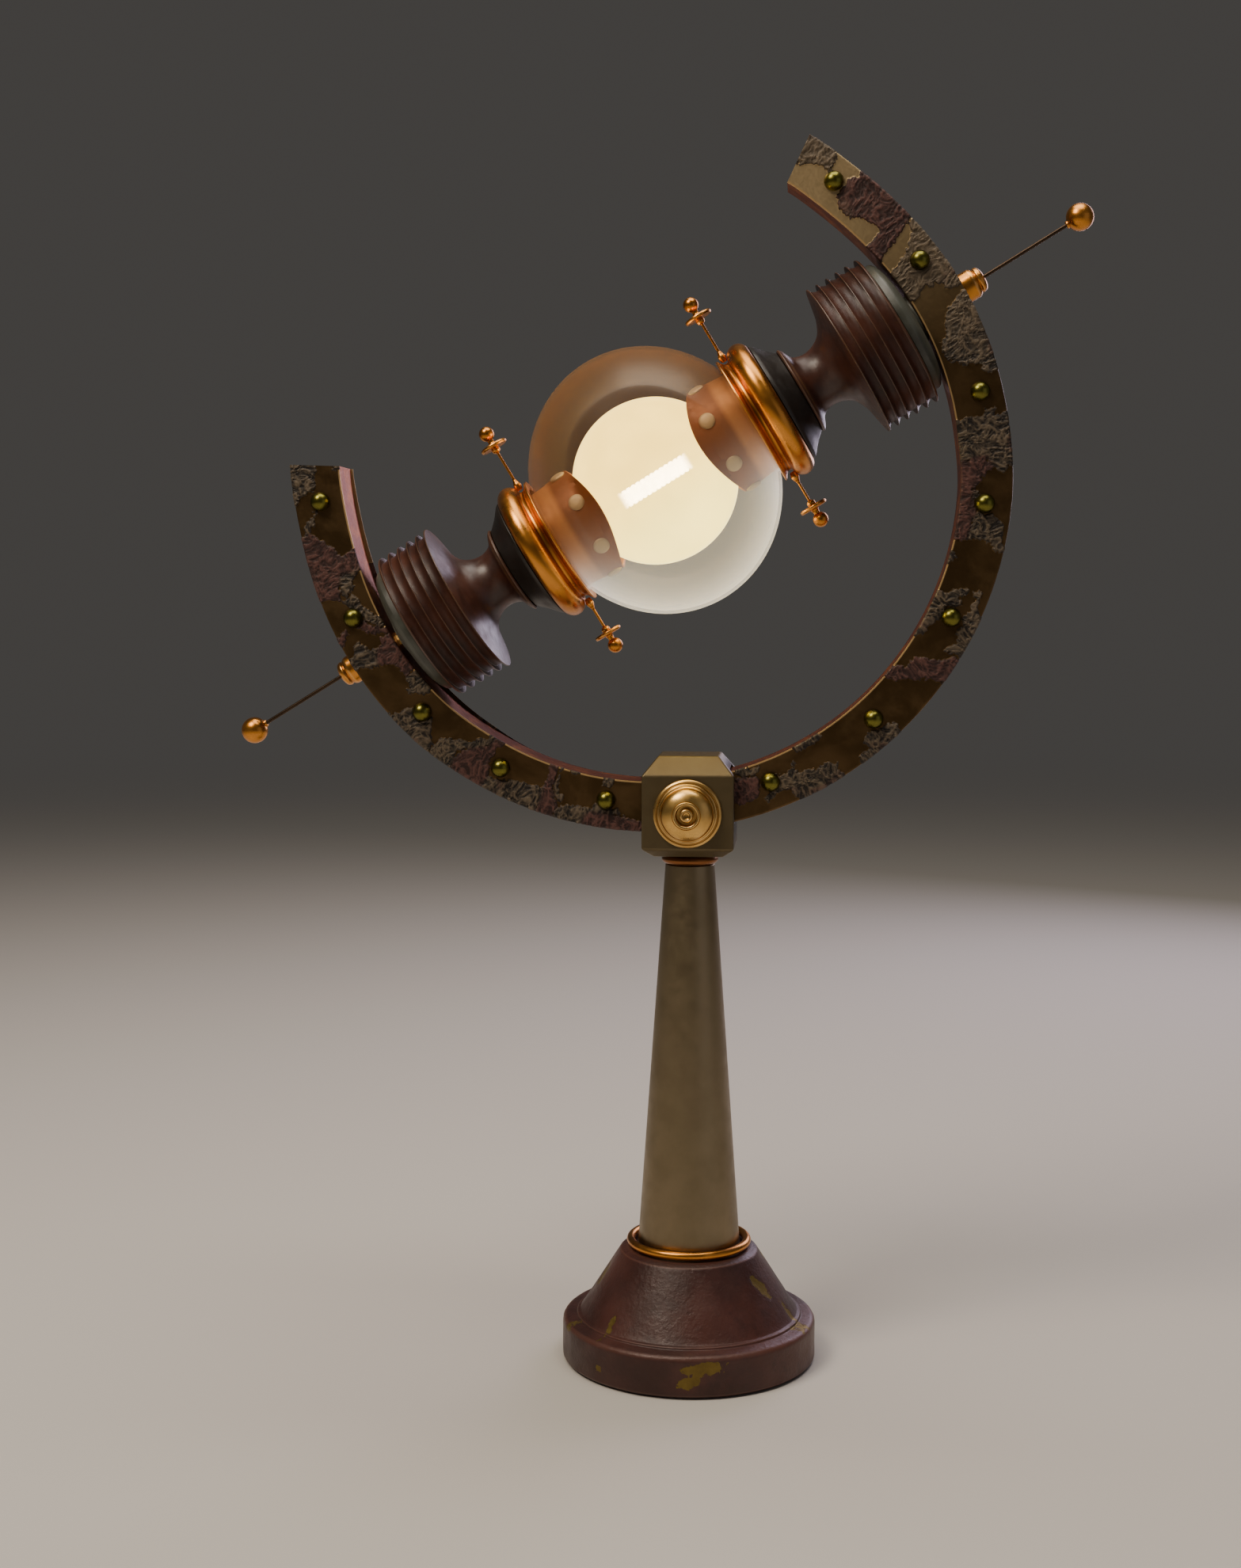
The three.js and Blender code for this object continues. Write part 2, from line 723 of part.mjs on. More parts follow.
function addLampEnd(end, side) {
  part(end, `axle_${side}`, turned(axleOutline(), SMALL_ROUND), 'steel');
  part(end, `end_ball_${side}`, turned(ballOutline(), SMALL_ROUND), 'copper');
  part(end, `insulator_${side}`, ring(insulatorOutline()), 'oxbloodCeramic');
  part(end, `cone_${side}`, ring(coneOutline()), 'blackCeramic');
  part(end, `collar_${side}`, ring(collarOutline()), 'copper');
  const cap = cut(ring(capOutline(), WIDE_ROUND), capMouthCutter());
  part(end, `cap_${side}`, cap, 'copper');
  const post = cylinder(1, FILAMENT_HALF + GAP, 46.7, SMALL_ROUND);
  part(end, `filament_post_${side}`, post, 'steel');
}

function addFinial(lamp, name, alongAxis, reach, direction) {
  const finial = part(lamp, name, turned(finialOutline(reach), 8), 'copper');
  finial.position.z = alongAxis;
  finial.rotation.y = (direction * Math.PI) / 2;
}

function addLamp(tilt) {
  const lamp = lampFrame(tilt);
  part(lamp, 'globe', ring(globeOutline()), 'clearGlass');
  part(lamp, 'bulb', ring(bulbOutline()), 'frostedGlass');
  const filament = cylinder(FILAMENT_R, -FILAMENT_HALF, FILAMENT_HALF);
  part(lamp, 'filament', filament, 'filament');
  addEnds(lamp, addLampEnd);
  for (const [side, alongAxis] of [['right', FINIAL_AT], ['left', -FINIAL_AT]]) {
    addFinial(lamp, `finial_${side}_upper`, alongAxis, FINIAL_LONG, -1);
    addFinial(lamp, `finial_${side}_lower`, alongAxis, FINIAL_SHORT, 1);
  }
}

// ---------------------------------------------------------------- assembly

function radiometer() {
  const root = new THREE.Group();
  addStand(root);
  addHead(root);
  addKnob(root);
  const tilt = new THREE.Group(); // local X to the arc's middle, local Z along the lamp axis
  tilt.position.set(ARC_CENTRE[0], 0, ARC_CENTRE[1]);
  tilt.rotation.y = radians(90 - LAMP_TILT);
  root.add(tilt);
  addArc(tilt);
  addLamp(tilt);
  return root;
}

export default radiometer();
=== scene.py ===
"""The looks of a table radiometer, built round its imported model.

A turned stand carries a block, a C-shaped arc slides through the block, and a glass globe with
its lamp turns on an axle between the arc's two bearings. The frame is in metres. Outlines are in
millimetres, in the axes of the place they stand in, and are scaled when a mesh is made.
"""

import json
import math
from collections import namedtuple

import bmesh
import bpy
import numpy as np
from mathutils import Matrix, Vector, noise


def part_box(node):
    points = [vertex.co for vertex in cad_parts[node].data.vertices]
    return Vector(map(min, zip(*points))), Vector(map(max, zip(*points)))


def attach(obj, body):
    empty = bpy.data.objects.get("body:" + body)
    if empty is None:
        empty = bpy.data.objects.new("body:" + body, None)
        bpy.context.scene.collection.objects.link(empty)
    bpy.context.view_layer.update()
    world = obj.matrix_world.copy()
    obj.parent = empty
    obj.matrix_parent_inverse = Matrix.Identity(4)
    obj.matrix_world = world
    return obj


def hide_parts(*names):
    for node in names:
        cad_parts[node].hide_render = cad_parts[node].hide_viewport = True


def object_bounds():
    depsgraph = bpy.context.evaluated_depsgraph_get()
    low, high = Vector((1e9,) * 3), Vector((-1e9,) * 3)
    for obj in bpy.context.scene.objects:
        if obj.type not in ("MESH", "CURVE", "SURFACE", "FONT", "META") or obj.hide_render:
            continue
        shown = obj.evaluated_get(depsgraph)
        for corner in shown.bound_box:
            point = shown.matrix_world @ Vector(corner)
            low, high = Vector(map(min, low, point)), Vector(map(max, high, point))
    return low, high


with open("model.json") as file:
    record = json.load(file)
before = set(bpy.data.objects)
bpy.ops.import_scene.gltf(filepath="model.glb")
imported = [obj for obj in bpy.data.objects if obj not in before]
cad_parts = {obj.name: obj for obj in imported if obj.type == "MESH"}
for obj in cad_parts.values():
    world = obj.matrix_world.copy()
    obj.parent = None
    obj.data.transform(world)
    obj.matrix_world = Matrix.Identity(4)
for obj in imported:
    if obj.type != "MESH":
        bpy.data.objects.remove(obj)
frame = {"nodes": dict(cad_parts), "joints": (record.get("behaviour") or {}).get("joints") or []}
cad_low, cad_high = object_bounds()

MM = 0.001
AROUND = 96  # steps round a wide turned piece
AROUND_SMALL = 40  # steps round a thin one
EASE_STEPS = 4  # steps round an eased corner
SHARP = math.radians(38)
noise.seed_set(1)  # the crusts' wrinkles come out the same each run

# ------------------------------------------------------------------ places


def place_along(origin, axis, side=(0, 1, 0)):
    """Axes at origin with Z along axis and Y close to side."""
    z = Vector(axis).normalized()
    x = Vector(side).cross(z).normalized()
    made = Matrix((x, z.cross(x), z)).transposed().to_4x4()
    made.translation = Vector(origin)
    return made


joints = {joint["name"]: joint for joint in frame["joints"]}
lamp_axis = joints["globe_spin"]["axis"]
STAND = Matrix.Identity(4)
KNOB = place_along(joints["knob_turn"]["pos_m"], joints["knob_turn"]["axis"], side=(1, 0, 0))
ARC = place_along(joints["arc_tilt"]["pos_m"], lamp_axis)  # X to the arc's middle
LAMP = place_along(joints["globe_spin"]["pos_m"], lamp_axis)
ENDS = {"right": LAMP, "left": LAMP @ Matrix.Rotation(math.pi, 4, "Y")}


def local(node, place):
    """A CAD node's vertices in a place's axes, in millimetres."""
    inverse = place.inverted()
    return [(inverse @ vertex.co) / MM for vertex in frame["nodes"][node].data.vertices]


def turned_size(node, place):
    """Lowest height, highest height and largest radius of a CAD node round a place's Z axis."""
    points = local(node, place)
    heights = [p.z for p in points]
    return min(heights), max(heights), max(math.hypot(p.x, p.y) for p in points)


def radius_at(node, place, height):
    """Largest radius of a CAD node round Z, among its vertices nearest to a height."""
    points = local(node, place)
    nearest = min(abs(p.z - height) for p in points)
    return max(math.hypot(p.x, p.y) for p in points if abs(p.z - height) < nearest + 0.01)


# ------------------------------------------------------------------ shapes

Shape = namedtuple("Shape", "points faces marks")  # marks: name of a vertex value to its list


def bend(r, h, radius_r, radius_h, start, end, steps):
    """Points on an ellipse round (r, h) from one angle to another, in degrees."""
    made = []
    for i in range(steps + 1):
        a = math.radians(start + (end - start) * i / steps)
        made.append((r + radius_r * math.cos(a), h + radius_h * math.sin(a)))
    return made


def eased(corners, closed):
    """(radius, height, edge) along an outline of (radius, height) or (radius, height, ease)
    corners. Edge is 1 on an outer corner's round, -1 on an inner one's, and 0 elsewhere."""
    made = []
    count = len(corners)
    for i, corner in enumerate(corners):
        here = Vector(corner[:2])
        ease = corner[2] if len(corner) > 2 else 0
        if not ease or not (closed or 0 < i < count - 1):
            made.append((here.x, here.y, 0.0))
            continue
        back = Vector(corners[i - 1][:2]) - here
        on = Vector(corners[(i + 1) % count][:2]) - here
        reach = min(ease, back.length * 0.49, on.length * 0.49)
        start = here + back.normalized() * reach
        end = here + on.normalized() * reach
        turn = 1.0 if back.x * on.y - back.y * on.x < 0 else -1.0
        for k in range(EASE_STEPS + 1):
            t = k / EASE_STEPS
            p = start * (1 - t) ** 2 + here * (2 * t * (1 - t)) + end * t**2
            made.append((p.x, p.y, turn * math.sin(math.pi * t)))
    return made


def turned(corners, steps=AROUND, closed=False):
    """An outline turned round Z. An open outline starts and ends on the axis."""
    outline = eased(corners, closed)
    points, faces, edge, rings = [], [], [], []
    for r, h, mark in outline:
        count = 1 if r < 1e-6 else steps
        rings.append(range(len(points), len(points) + count))
        for k in range(count):
            a = 2 * math.pi * k / steps
            points.append(Vector((r * math.cos(a), r * math.sin(a), h)))
            edge.append(mark)
    pairs = list(zip(rings, rings[1:]))
    if closed:
        pairs.append((rings[-1], rings[0]))
    for low, high in pairs:
        for k in range(steps):
            n = (k + 1) % steps
            if len(low) == 1:
                faces.append((low[0], high[n], high[k]))
            elif len(high) == 1:
                faces.append((low[k], low[n], high[0]))
            else:
                faces.append((low[k], low[n], high[n], high[k]))
    return Shape(points, faces, {"edge": edge})


def spun(outlines):
    """A ring through closed outlines of corners, one for each of its evenly spaced sides."""
    points, edge = [], []
    for k, corners in enumerate(outlines):
        a = 2 * math.pi * k / len(outlines)
        for r, h, mark in eased(corners, closed=True):
            points.append(Vector((r * math.cos(a), r * math.sin(a), h)))
            edge.append(mark)
    count = len(points) // len(outlines)
    faces = []
    for k in range(len(outlines)):
        low, high = k * count, (k + 1) % len(outlines) * count
        for i in range(count):
            n = (i + 1) % count
            faces.append((low + i, high + i, high + n, low + n))
    return Shape(points, faces, {"edge": edge})


def swept(loops, edge):
    """A closed solid through loops of points; edge marks the points of one loop."""
    count = len(loops[0])
    points = [p for loop in loops for p in loop]
    faces = [tuple(range(count)), tuple(range(len(points) - count, len(points)))]
    for i in range(len(loops) - 1):
        for k in range(count):
            low, n = i * count, (k + 1) % count
            faces.append((low + k, low + n, low + count + n, low + count + k))
    return Shape(points, faces, {"edge": list(edge) * len(loops)})


def moved(shape, matrix):
    return shape._replace(points=[matrix @ p for p in shape.points])


def in_stand(shape, place):
    """A shape in the stand's axes: its bounding box is then the object's own."""
    return shape._replace(points=[(place @ (p * MM)) / MM for p in shape.points])


def together(*shapes):
    """Separate closed bodies in one shape."""
    points, faces, marks = [], [], {"edge": []}
    for shape in shapes:
        start = len(points)
        points += shape.points
        faces += [tuple(start + i for i in face) for face in shape.faces]
        marks["edge"] += shape.marks["edge"]
    return Shape(points, faces, marks)


def mesh_of(name, shape):
    mesh = bpy.data.meshes.new(name)
    mesh.from_pydata([p * MM for p in shape.points], [], shape.faces)
    for label, values in shape.marks.items():
        mesh.attributes.new(label, "FLOAT", "POINT").data.foreach_set("value", values)
    work = bmesh.new()
    work.from_mesh(mesh)
    bmesh.ops.recalc_face_normals(work, faces=work.faces)
    for edge in work.edges:
        edge.smooth = edge.calc_face_angle(0) < SHARP
    for face in work.faces:
        face.smooth = True
    work.to_mesh(mesh)
    work.free()
    return mesh


def add(name, mesh, place, body, slot, material, *nodes):
    """Puts a piece at its place, on its body, in the stead of its CAD nodes."""
    if isinstance(mesh, Shape):
        mesh = mesh_of(name, mesh)
    piece = bpy.data.objects.new(name, mesh)
    bpy.context.scene.collection.objects.link(piece)
    piece.matrix_world = place
    mesh.materials.append(material)
    piece.modifiers.new("even_shading", "WEIGHTED_NORMAL").keep_sharp = True
    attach(piece, body)
    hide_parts(*nodes)
    return piece


# ------------------------------------------------------------------ materials


def colour(code):
    """A linear colour from a plain web colour code."""
    parts = [int(code[i : i + 2], 16) / 255 for i in (0, 2, 4)]
    return [c / 12.92 if c <= 0.04045 else ((c + 0.055) / 1.055) ** 2.4 for c in parts] + [1.0]


class Shader:
    """A material's node tree, with a short call for each kind of node."""

    def __init__(self, name):
        self.material = bpy.data.materials.new(name)
        self.material.use_nodes = True
        self.tree = self.material.node_tree
        self.tree.nodes.clear()
        self.place = self.node("ShaderNodeTexCoord").outputs["Object"]

    def node(self, kind, inputs=None, **settings):
        made = self.tree.nodes.new(kind)
        for key, value in settings.items():
            setattr(made, key, value)
        for key, value in (inputs or {}).items():
            if isinstance(value, bpy.types.NodeSocket):
                self.tree.links.new(value, made.inputs[key])
            else:
                made.inputs[key].default_value = value
        return made

    def noise(self, size, detail=4.0, rough=0.55, distortion=0.0):
        """Noise from 0 to 1 whose lumps are about size millimetres across."""
        inputs = {"Vector": self.place, "Scale": 1 / (size * MM), "Detail": detail}
        inputs.update({"Roughness": rough, "Distortion": distortion})
        return self.node("ShaderNodeTexNoise", inputs).outputs["Fac"]

    def cells(self, size):
        """Distance from scattered points about size millimetres apart."""
        inputs = {"Vector": self.place, "Scale": 1 / (size * MM)}
        return self.node("ShaderNodeTexVoronoi", inputs).outputs["Distance"]

    def axis(self, name):
        """One coordinate in the piece's own axes, in metres."""
        return self.node("ShaderNodeSeparateXYZ", {0: self.place}).outputs[name]

    def glow(self, tone, strength):
        """An emission shader."""
        return self.node("ShaderNodeEmission", {"Color": tone, "Strength": strength}).outputs[0]

    def layers(self, share, under, over):
        """One shader, changing to another by share."""
        return self.node("ShaderNodeMixShader", {0: share, 1: under, 2: over}).outputs[0]

    def facing(self, blend):
        """From 0 where the surface faces the viewer to 1 at its outline."""
        return self.node("ShaderNodeLayerWeight", {"Blend": blend}).outputs["Facing"]

    def mark(self, name):
        """A value that the mesh stores at its vertices."""
        return self.node("ShaderNodeAttribute", attribute_name=name).outputs["Fac"]

    def math(self, operation, a, b=0.0):
        return self.node("ShaderNodeMath", {0: a, 1: b}, operation=operation).outputs[0]

    def between(self, value, low, high, to_low=0.0, to_high=1.0):
        """Value eased from to_low at low to to_high at high, and held outside them."""
        inputs = {"Value": value, "From Min": low, "From Max": high}
        inputs.update({"To Min": to_low, "To Max": to_high})
        settings = {"interpolation_type": "SMOOTHSTEP"}
        return self.node("ShaderNodeMapRange", inputs, **settings).outputs["Result"]

    def mix(self, share, a, b):
        """Colour a, changing to b by share."""
        inputs = {0: share, 6: a, 7: b}
        return self.node("ShaderNodeMix", inputs, data_type="RGBA").outputs[2]

    def blend(self, share, a, b):
        """Number a, changing to b by share."""
        return self.node("ShaderNodeMix", {0: share, 2: a, 3: b}, data_type="FLOAT").outputs[0]

    def bump(self, height, depth):
        """A normal for relief of a height from 0 to 1 times depth in millimetres."""
        inputs = {"Height": height, "Distance": depth * MM, "Strength": 1.0}
        return self.node("ShaderNodeBump", inputs).outputs[0]

    def surface(self, **inputs):
        """Ends the tree in a Principled shader and returns the material."""
        named = {key.replace("_", " "): value for key, value in inputs.items()}
        return self.finish(self.node("ShaderNodeBsdfPrincipled", named).outputs[0])

    def finish(self, shader):
        self.node("ShaderNodeOutputMaterial", {"Surface": shader})
        return self.material


def enamel_base():
    """Oxblood enamel on the base, pitted, and chipped through to a brassy ground."""
    s = Shader("oxblood_enamel")
    tone = s.mix(s.between(s.noise(30, 5), 0.35, 0.68), colour("3a211d"), colour("54312a"))
    tone = s.mix(s.between(s.noise(8, 6, 0.65), 0.5, 0.72, 0, 0.5), tone, colour("2b1816"))
    # painted highlight: the rounded edges are lightened towards a pale pinkish brown
    tone = s.mix(s.between(s.mark("edge"), 0.3, 1, 0, 0.3), tone, colour("7a5244"))
    ragged = s.math("ADD", s.mark("chip"), s.between(s.noise(2.6, 6, 0.7), 0.2, 0.8, -0.9, 0.9))
    bare = s.between(ragged, 0.0, 0.18)
    brass = s.mix(s.noise(4, 5), colour("5c4a24"), colour("8f7a3d"))
    pits = s.between(s.cells(5.5), 0.05, 0.16)
    grain = s.math("MULTIPLY", s.noise(1.6, 6, 0.6), s.between(pits, 0, 1, 0.5, 1))
    return s.surface(
        Base_Color=s.mix(bare, tone, brass),
        Metallic=s.between(bare, 0, 1, 0.08, 0.7),
        Roughness=s.blend(bare, s.between(s.noise(9, 5), 0.3, 0.75, 0.36, 0.52), 0.5),
        Normal=s.bump(s.math("SUBTRACT", grain, s.math("MULTIPLY", bare, 0.6)), 0.2),
    )


def turned_metal(name, light, dark, painted_edge_highlight, rough, cloudy=0.5, edge_share=0.4):
    """Polished turned metal: soft clouds, darker grooves, painted edge highlights, faint waves."""
    s = Shader(name)
    cloud = s.between(s.noise(14, 4, 0.5), 0.35, 0.7, 0, cloudy)
    tone = s.mix(cloud, colour(light), colour(dark))
    # the grooves are darkened towards the dark colour
    tone = s.mix(s.between(s.mark("edge"), -0.1, -0.9, 0, 0.85), tone, colour(dark))
    # painted highlight: outer edges lightened towards a highlight colour, by edge_share
    tone = s.mix(s.between(s.mark("edge"), 0.2, 0.9, 0, edge_share), tone, colour(painted_edge_highlight))
    smudges = s.noise(5, 5, 0.55)
    return s.surface(
        Base_Color=tone,
        Metallic=1.0,
        Roughness=s.between(smudges, 0.3, 0.75, rough - 0.04, rough + 0.07),
        Normal=s.bump(s.noise(2.6, 2, 0.4), 0.002),
    )


def felt():
    """Dark brown felt of tangled fibres."""
    s = Shader("felt")
    fibres = s.noise(0.6, 8, 0.8, distortion=1.5)
    return s.surface(
        Base_Color=s.mix(fibres, colour("1d1816"), colour("3b322e")),
        Roughness=0.95,
        Normal=s.bump(fibres, 0.4),
        Sheen_Weight=0.4,
        Sheen_Roughness=0.6,
    )


def block_metal():
    """Olive-grey satin bronze of the block."""
    s = Shader("block_bronze")
    cloud = s.between(s.noise(14, 6, 0.6), 0.35, 0.7)
    tone = s.mix(cloud, colour("3b3a31"), colour("2f2e28"))
    # painted highlight: the eased edges are lightened to a warm tan
    tone = s.mix(s.between(s.mark("edge"), 0.2, 1, 0, 0.5), tone, colour("98835a"))
    scuffs = s.noise(3, 6, 0.7)
    return s.surface(
        Base_Color=tone,
        Metallic=0.75,
        Roughness=s.between(scuffs, 0.3, 0.75, 0.38, 0.52),
        Normal=s.bump(scuffs, 0.03),
    )


def cast_copper():
    """The arc's own metal: copper inside the curve, heat-darkened mauve outside."""
    s = Shader("arc_copper")
    swirl = s.noise(12, 6, 0.6, distortion=1.0)
    bright = s.mix(s.between(swirl, 0.3, 0.6), colour("b0642c"), colour("7e3a22"))
    bright = s.mix(s.between(s.noise(17, 4), 0.6, 0.74, 0, 0.45), bright, colour("5a3244"))
    dark = s.mix(s.between(swirl, 0.35, 0.65), colour("3a2524"), colour("553733"))
    grain = s.noise(1.4, 6, 0.65)
    return s.surface(
        Base_Color=s.mix(s.between(s.mark("outside"), 0.02, 0.2), bright, dark),
        Metallic=0.9,
        Roughness=s.blend(s.mark("outside"), s.between(grain, 0.3, 0.7, 0.3, 0.44), 0.55),
        Normal=s.bump(grain, 0.08),
    )


def crusted_brass():
    """The arc's faces: satin brass under raised bark-like and mauve crusts."""
    s = Shader("crusted_brass")
    fine = s.noise(1.0, 6, 0.7)
    shift = s.between(fine, 0.2, 0.8, -0.2, 0.2)
    crust = s.between(s.math("ADD", s.mark("crust"), shift), -0.1, 0.12)
    cloud = s.between(s.noise(15, 5, 0.5, distortion=0.6), 0.36, 0.66)
    brass = s.mix(cloud, colour("665034"), colour("4e3c24"))
    brass = s.mix(s.between(s.noise(9, 4), 0.5, 0.75, 0, 0.5), brass, colour("705a3c"))
    brass = s.mix(s.between(s.mark("pale"), 0.1, 0.9), brass, colour("c9b084"))
    # painted highlight: the plate's inner edge is lightened to bright gold
    brass = s.mix(s.between(s.mark("edge"), 0.15, 0.8), brass, colour("e3bd84"))
    # painted shade and highlight: the crusts are darkened in their creases and lightened on their
    # ridges
    ridge = s.between(s.math("ADD", s.mark("ridge"), shift), 0.1, 0.95)
    bark = s.mix(ridge, colour("1a140f"), colour("6a5c4a"))
    mauve = s.mix(ridge, colour("2c1714"), colour("63413a"))
    bark = s.mix(s.between(s.mark("pale"), 0, 0.4, 0, 0.4), bark, colour("7c6c56"))
    scale = s.mix(s.mark("mauve"), bark, mauve)
    scale = s.mix(s.between(s.mark("crust"), 0.9, 0.1, 0, 0.5), scale, colour("2a201a"))
    return s.surface(
        Base_Color=s.mix(crust, brass, scale),
        Metallic=s.between(crust, 0, 1, 0.9, 0.2),
        Roughness=s.blend(crust, s.between(fine, 0.3, 0.75, 0.38, 0.48), 0.6),
        Normal=s.bump(s.math("MULTIPLY", fine, s.between(crust, 0, 1, 0.05, 1)), 0.25),
    )


def rivet_brass():
    """Smooth greenish brass with faint clouds."""
    s = Shader("rivet_brass")
    tone = s.mix(s.between(s.noise(5, 4, 0.5), 0.35, 0.7), colour("7a7634"), colour("5f5b26"))
    return s.surface(
        Base_Color=tone,
        Metallic=1.0,
        Roughness=s.between(s.noise(3, 5, 0.6), 0.3, 0.75, 0.26, 0.36),
        Normal=s.bump(s.noise(2.0, 2, 0.4), 0.002),
    )


def glaze(name, light, dark, fleck, rough, fleck_share):
    """Fired glaze: clouded colour, worn flecks that favour the edges, faint orange peel."""
    s = Shader(name)
    tone = s.mix(s.between(s.noise(13, 5, 0.6), 0.35, 0.68), colour(light), colour(dark))
    specks = s.between(s.noise(2.4, 6, 0.65), 0.62, 0.7)
    by_edge = s.between(s.mark("edge"), 0.1, 0.9, 0.25, 1.0)
    wear = s.math("MULTIPLY", s.math("MULTIPLY", specks, by_edge), fleck_share)
    rubbed = s.between(s.mark("edge"), 0.3, 1, 0, fleck_share * 0.4)
    tone = s.mix(s.math("MAXIMUM", wear, rubbed), tone, colour(fleck))
    peel = s.noise(1.5, 4, 0.6)
    return s.surface(
        Base_Color=tone,
        Roughness=s.between(s.noise(5, 6, 0.7), 0.3, 0.75, rough - 0.06, rough + 0.12),
        Specular_IOR_Level=0.6,
        Normal=s.bump(peel, 0.05),
    )


def cap_copper_painted_light():
    """Copper of the caps: brown round the mouth, peach by the collar, bone-coloured studs."""
    s = Shader("cap_copper")
    behind_mouth = s.between(s.axis("Z"), 32.5 * MM, 35.5 * MM)
    # painted light: behind the mouth the copper turns a lighter peach, standing in for the bulb's
    # light
    tone = s.mix(behind_mouth, colour("8f5c38"), colour("d09a64"))
    tone = s.mix(s.between(s.noise(12, 4, 0.5), 0.4, 0.7, 0, 0.35), tone, colour("8a5c3c"))
    tone = s.mix(s.mark("stud"), tone, colour("c4b492"))
    scuffs = s.noise(3, 5, 0.6)
    return s.surface(
        Base_Color=tone,
        Metallic=0.25,
        Roughness=s.between(scuffs, 0.3, 0.75, 0.42, 0.56),
        Normal=s.bump(scuffs, 0.01),
    )


def clear_glass():
    """Thin glass with a painted veil of light inside, brown on one side and milky on the other."""
    s = Shader("globe_glass")
    lean = s.math("ADD", s.axis("X"), s.math("MULTIPLY", s.noise(45, 2), 0.01))
    # painted reflection and light: one side of the globe is painted brown and the other milky; the
    # tones turn with the globe
    side = s.between(lean, -2 * MM, 30 * MM)
    painted_reflection_tone = s.mix(side, colour("735238"), colour("efebe2"))
    # the painted veil grows towards the globe's outline
    thick = s.math("MULTIPLY", s.between(s.facing(0.4), 0.2, 1.0), 0.26)
    share = s.math("ADD", s.between(side, 0, 1, 0.04, 0.05), thick)
    tint = s.mix(side, colour("fbf3ea"), colour("fdfcfa"))
    clear = s.node("ShaderNodeBsdfTransparent", {"Color": tint}).outputs[0]
    veil_diffuse = s.node("ShaderNodeBsdfDiffuse", {"Color": painted_reflection_tone}).outputs[0]
    # painted glow: the veil gives off light, most on its milky side
    lit = s.glow(painted_reflection_tone, s.between(side, 0, 1, 0.2, 1.3))
    veil = s.node("ShaderNodeAddShader", {0: veil_diffuse, 1: lit}).outputs[0]
    gloss = s.node("ShaderNodeBsdfGlossy", {"Roughness": 0.38}).outputs[0]
    ripple = s.bump(s.noise(20, 2, 0.4), 0.02)
    fresnel = s.node("ShaderNodeFresnel", {"IOR": 1.35, "Normal": ripple}).outputs[0]
    mirror = s.math("MULTIPLY", fresnel, 0.09)
    return s.finish(s.layers(mirror, s.layers(share, clear, veil), gloss))


def bulb_glow():
    """Frosted glass lit from inside: cream, paler at its rim, with the filament showing through."""
    s = Shader("bulb_glow")
    tone = s.mix(s.between(s.facing(0.3), 0.55, 0.95), colour("ffe070"), colour("ffeda0"))
    cloud = s.between(s.noise(16, 3), 0.3, 0.7, 0.94, 1.06)
    light = s.glow(tone, s.math("MULTIPLY", cloud, 4.5))
    clear = s.node("ShaderNodeBsdfTransparent").outputs[0]
    return s.finish(s.layers(0.8, clear, light))


def filament_glow():
    """White heat that fades to nothing at the coil's rim and towards its ends."""
    s = Shader("filament_glow")
    along = s.between(s.math("ABSOLUTE", s.axis("Z")), 15 * MM, 10.5 * MM)
    share = s.math("MULTIPLY", s.between(s.facing(0.5), 0.95, 0.3), along)
    grain = s.between(s.noise(2, 3), 0.3, 0.7, 0.9, 1.1)
    light = s.glow(colour("fff2d8"), s.math("MULTIPLY", grain, 260.0))
    clear = s.node("ShaderNodeBsdfTransparent").outputs[0]
    return s.finish(s.layers(share, clear, light))


FELT = felt()
ENAMEL = enamel_base()
COPPER = turned_metal("copper", "d99445", "9c5e24", "f2bf78", 0.3)
DARK_COPPER = turned_metal("dark_copper", "8a5a34", "553420", "b98358", 0.34)
ROD = turned_metal("rod_bronze", "4a3c30", "2e251e", "6f5c4a", 0.36)
PEWTER = turned_metal("pewter", "8f8167", "74674f", "b5a685", 0.4, 0.35)
STEEL = turned_metal("steel", "8f8f90", "6a6764", "bdbdbd", 0.34)
GOLD = turned_metal("gold_brass", "eabf72", "9c7034", "ffe0a0", 0.3)
BLOCK = block_metal()
ARC_COPPER = cast_copper()
CRUSTED = crusted_brass()
RIVET = rivet_brass()
CUP = glaze("cup_glaze", "4d5048", "3c3d35", "7d725a", 0.4, 0.3)
OXBLOOD = glaze("oxblood_glaze", "4d2c20", "38211a", "94773f", 0.36, 0.5)
BLACK = glaze("black_glaze", "1c1611", "130f0b", "4a3c2e", 0.42, 0.2)
CAP = cap_copper_painted_light()
GLASS = clear_glass()
BULB = bulb_glow()
FILAMENT = filament_glow()

# ------------------------------------------------------------------ stand

# Chips in the base's enamel: degrees round from the front, height, half width, half height and
# lean, in millimetres.
CHIPS = [
    (10, 11.5, 7.5, 2.6, -0.5),
    (4, 6.5, 4.0, 2.4, -0.8),
    (-40, 6.5, 1.6, 1.4, 0.0),
    (-68, 15.0, 2.4, 1.6, 0.2),
    (-43, 19.5, 1.3, 4.0, 0.1),
    (-84, 31.0, 2.6, 4.0, 0.3),
    (61, 31.5, 2.6, 4.6, 0.6),
    (76, 20.5, 1.6, 4.6, 0.2),
    (72, 16.0, 3.0, 0.9, 0.0),
    (128, 9.0, 4.5, 2.6, 0.4),
    (150, 27.0, 2.6, 3.6, -0.5),
    (-135, 12.0, 5.5, 2.2, 0.5),
    (-155, 34.0, 1.8, 3.0, 0.3),
    (100, 38.0, 2.4, 1.6, 0.0),
]


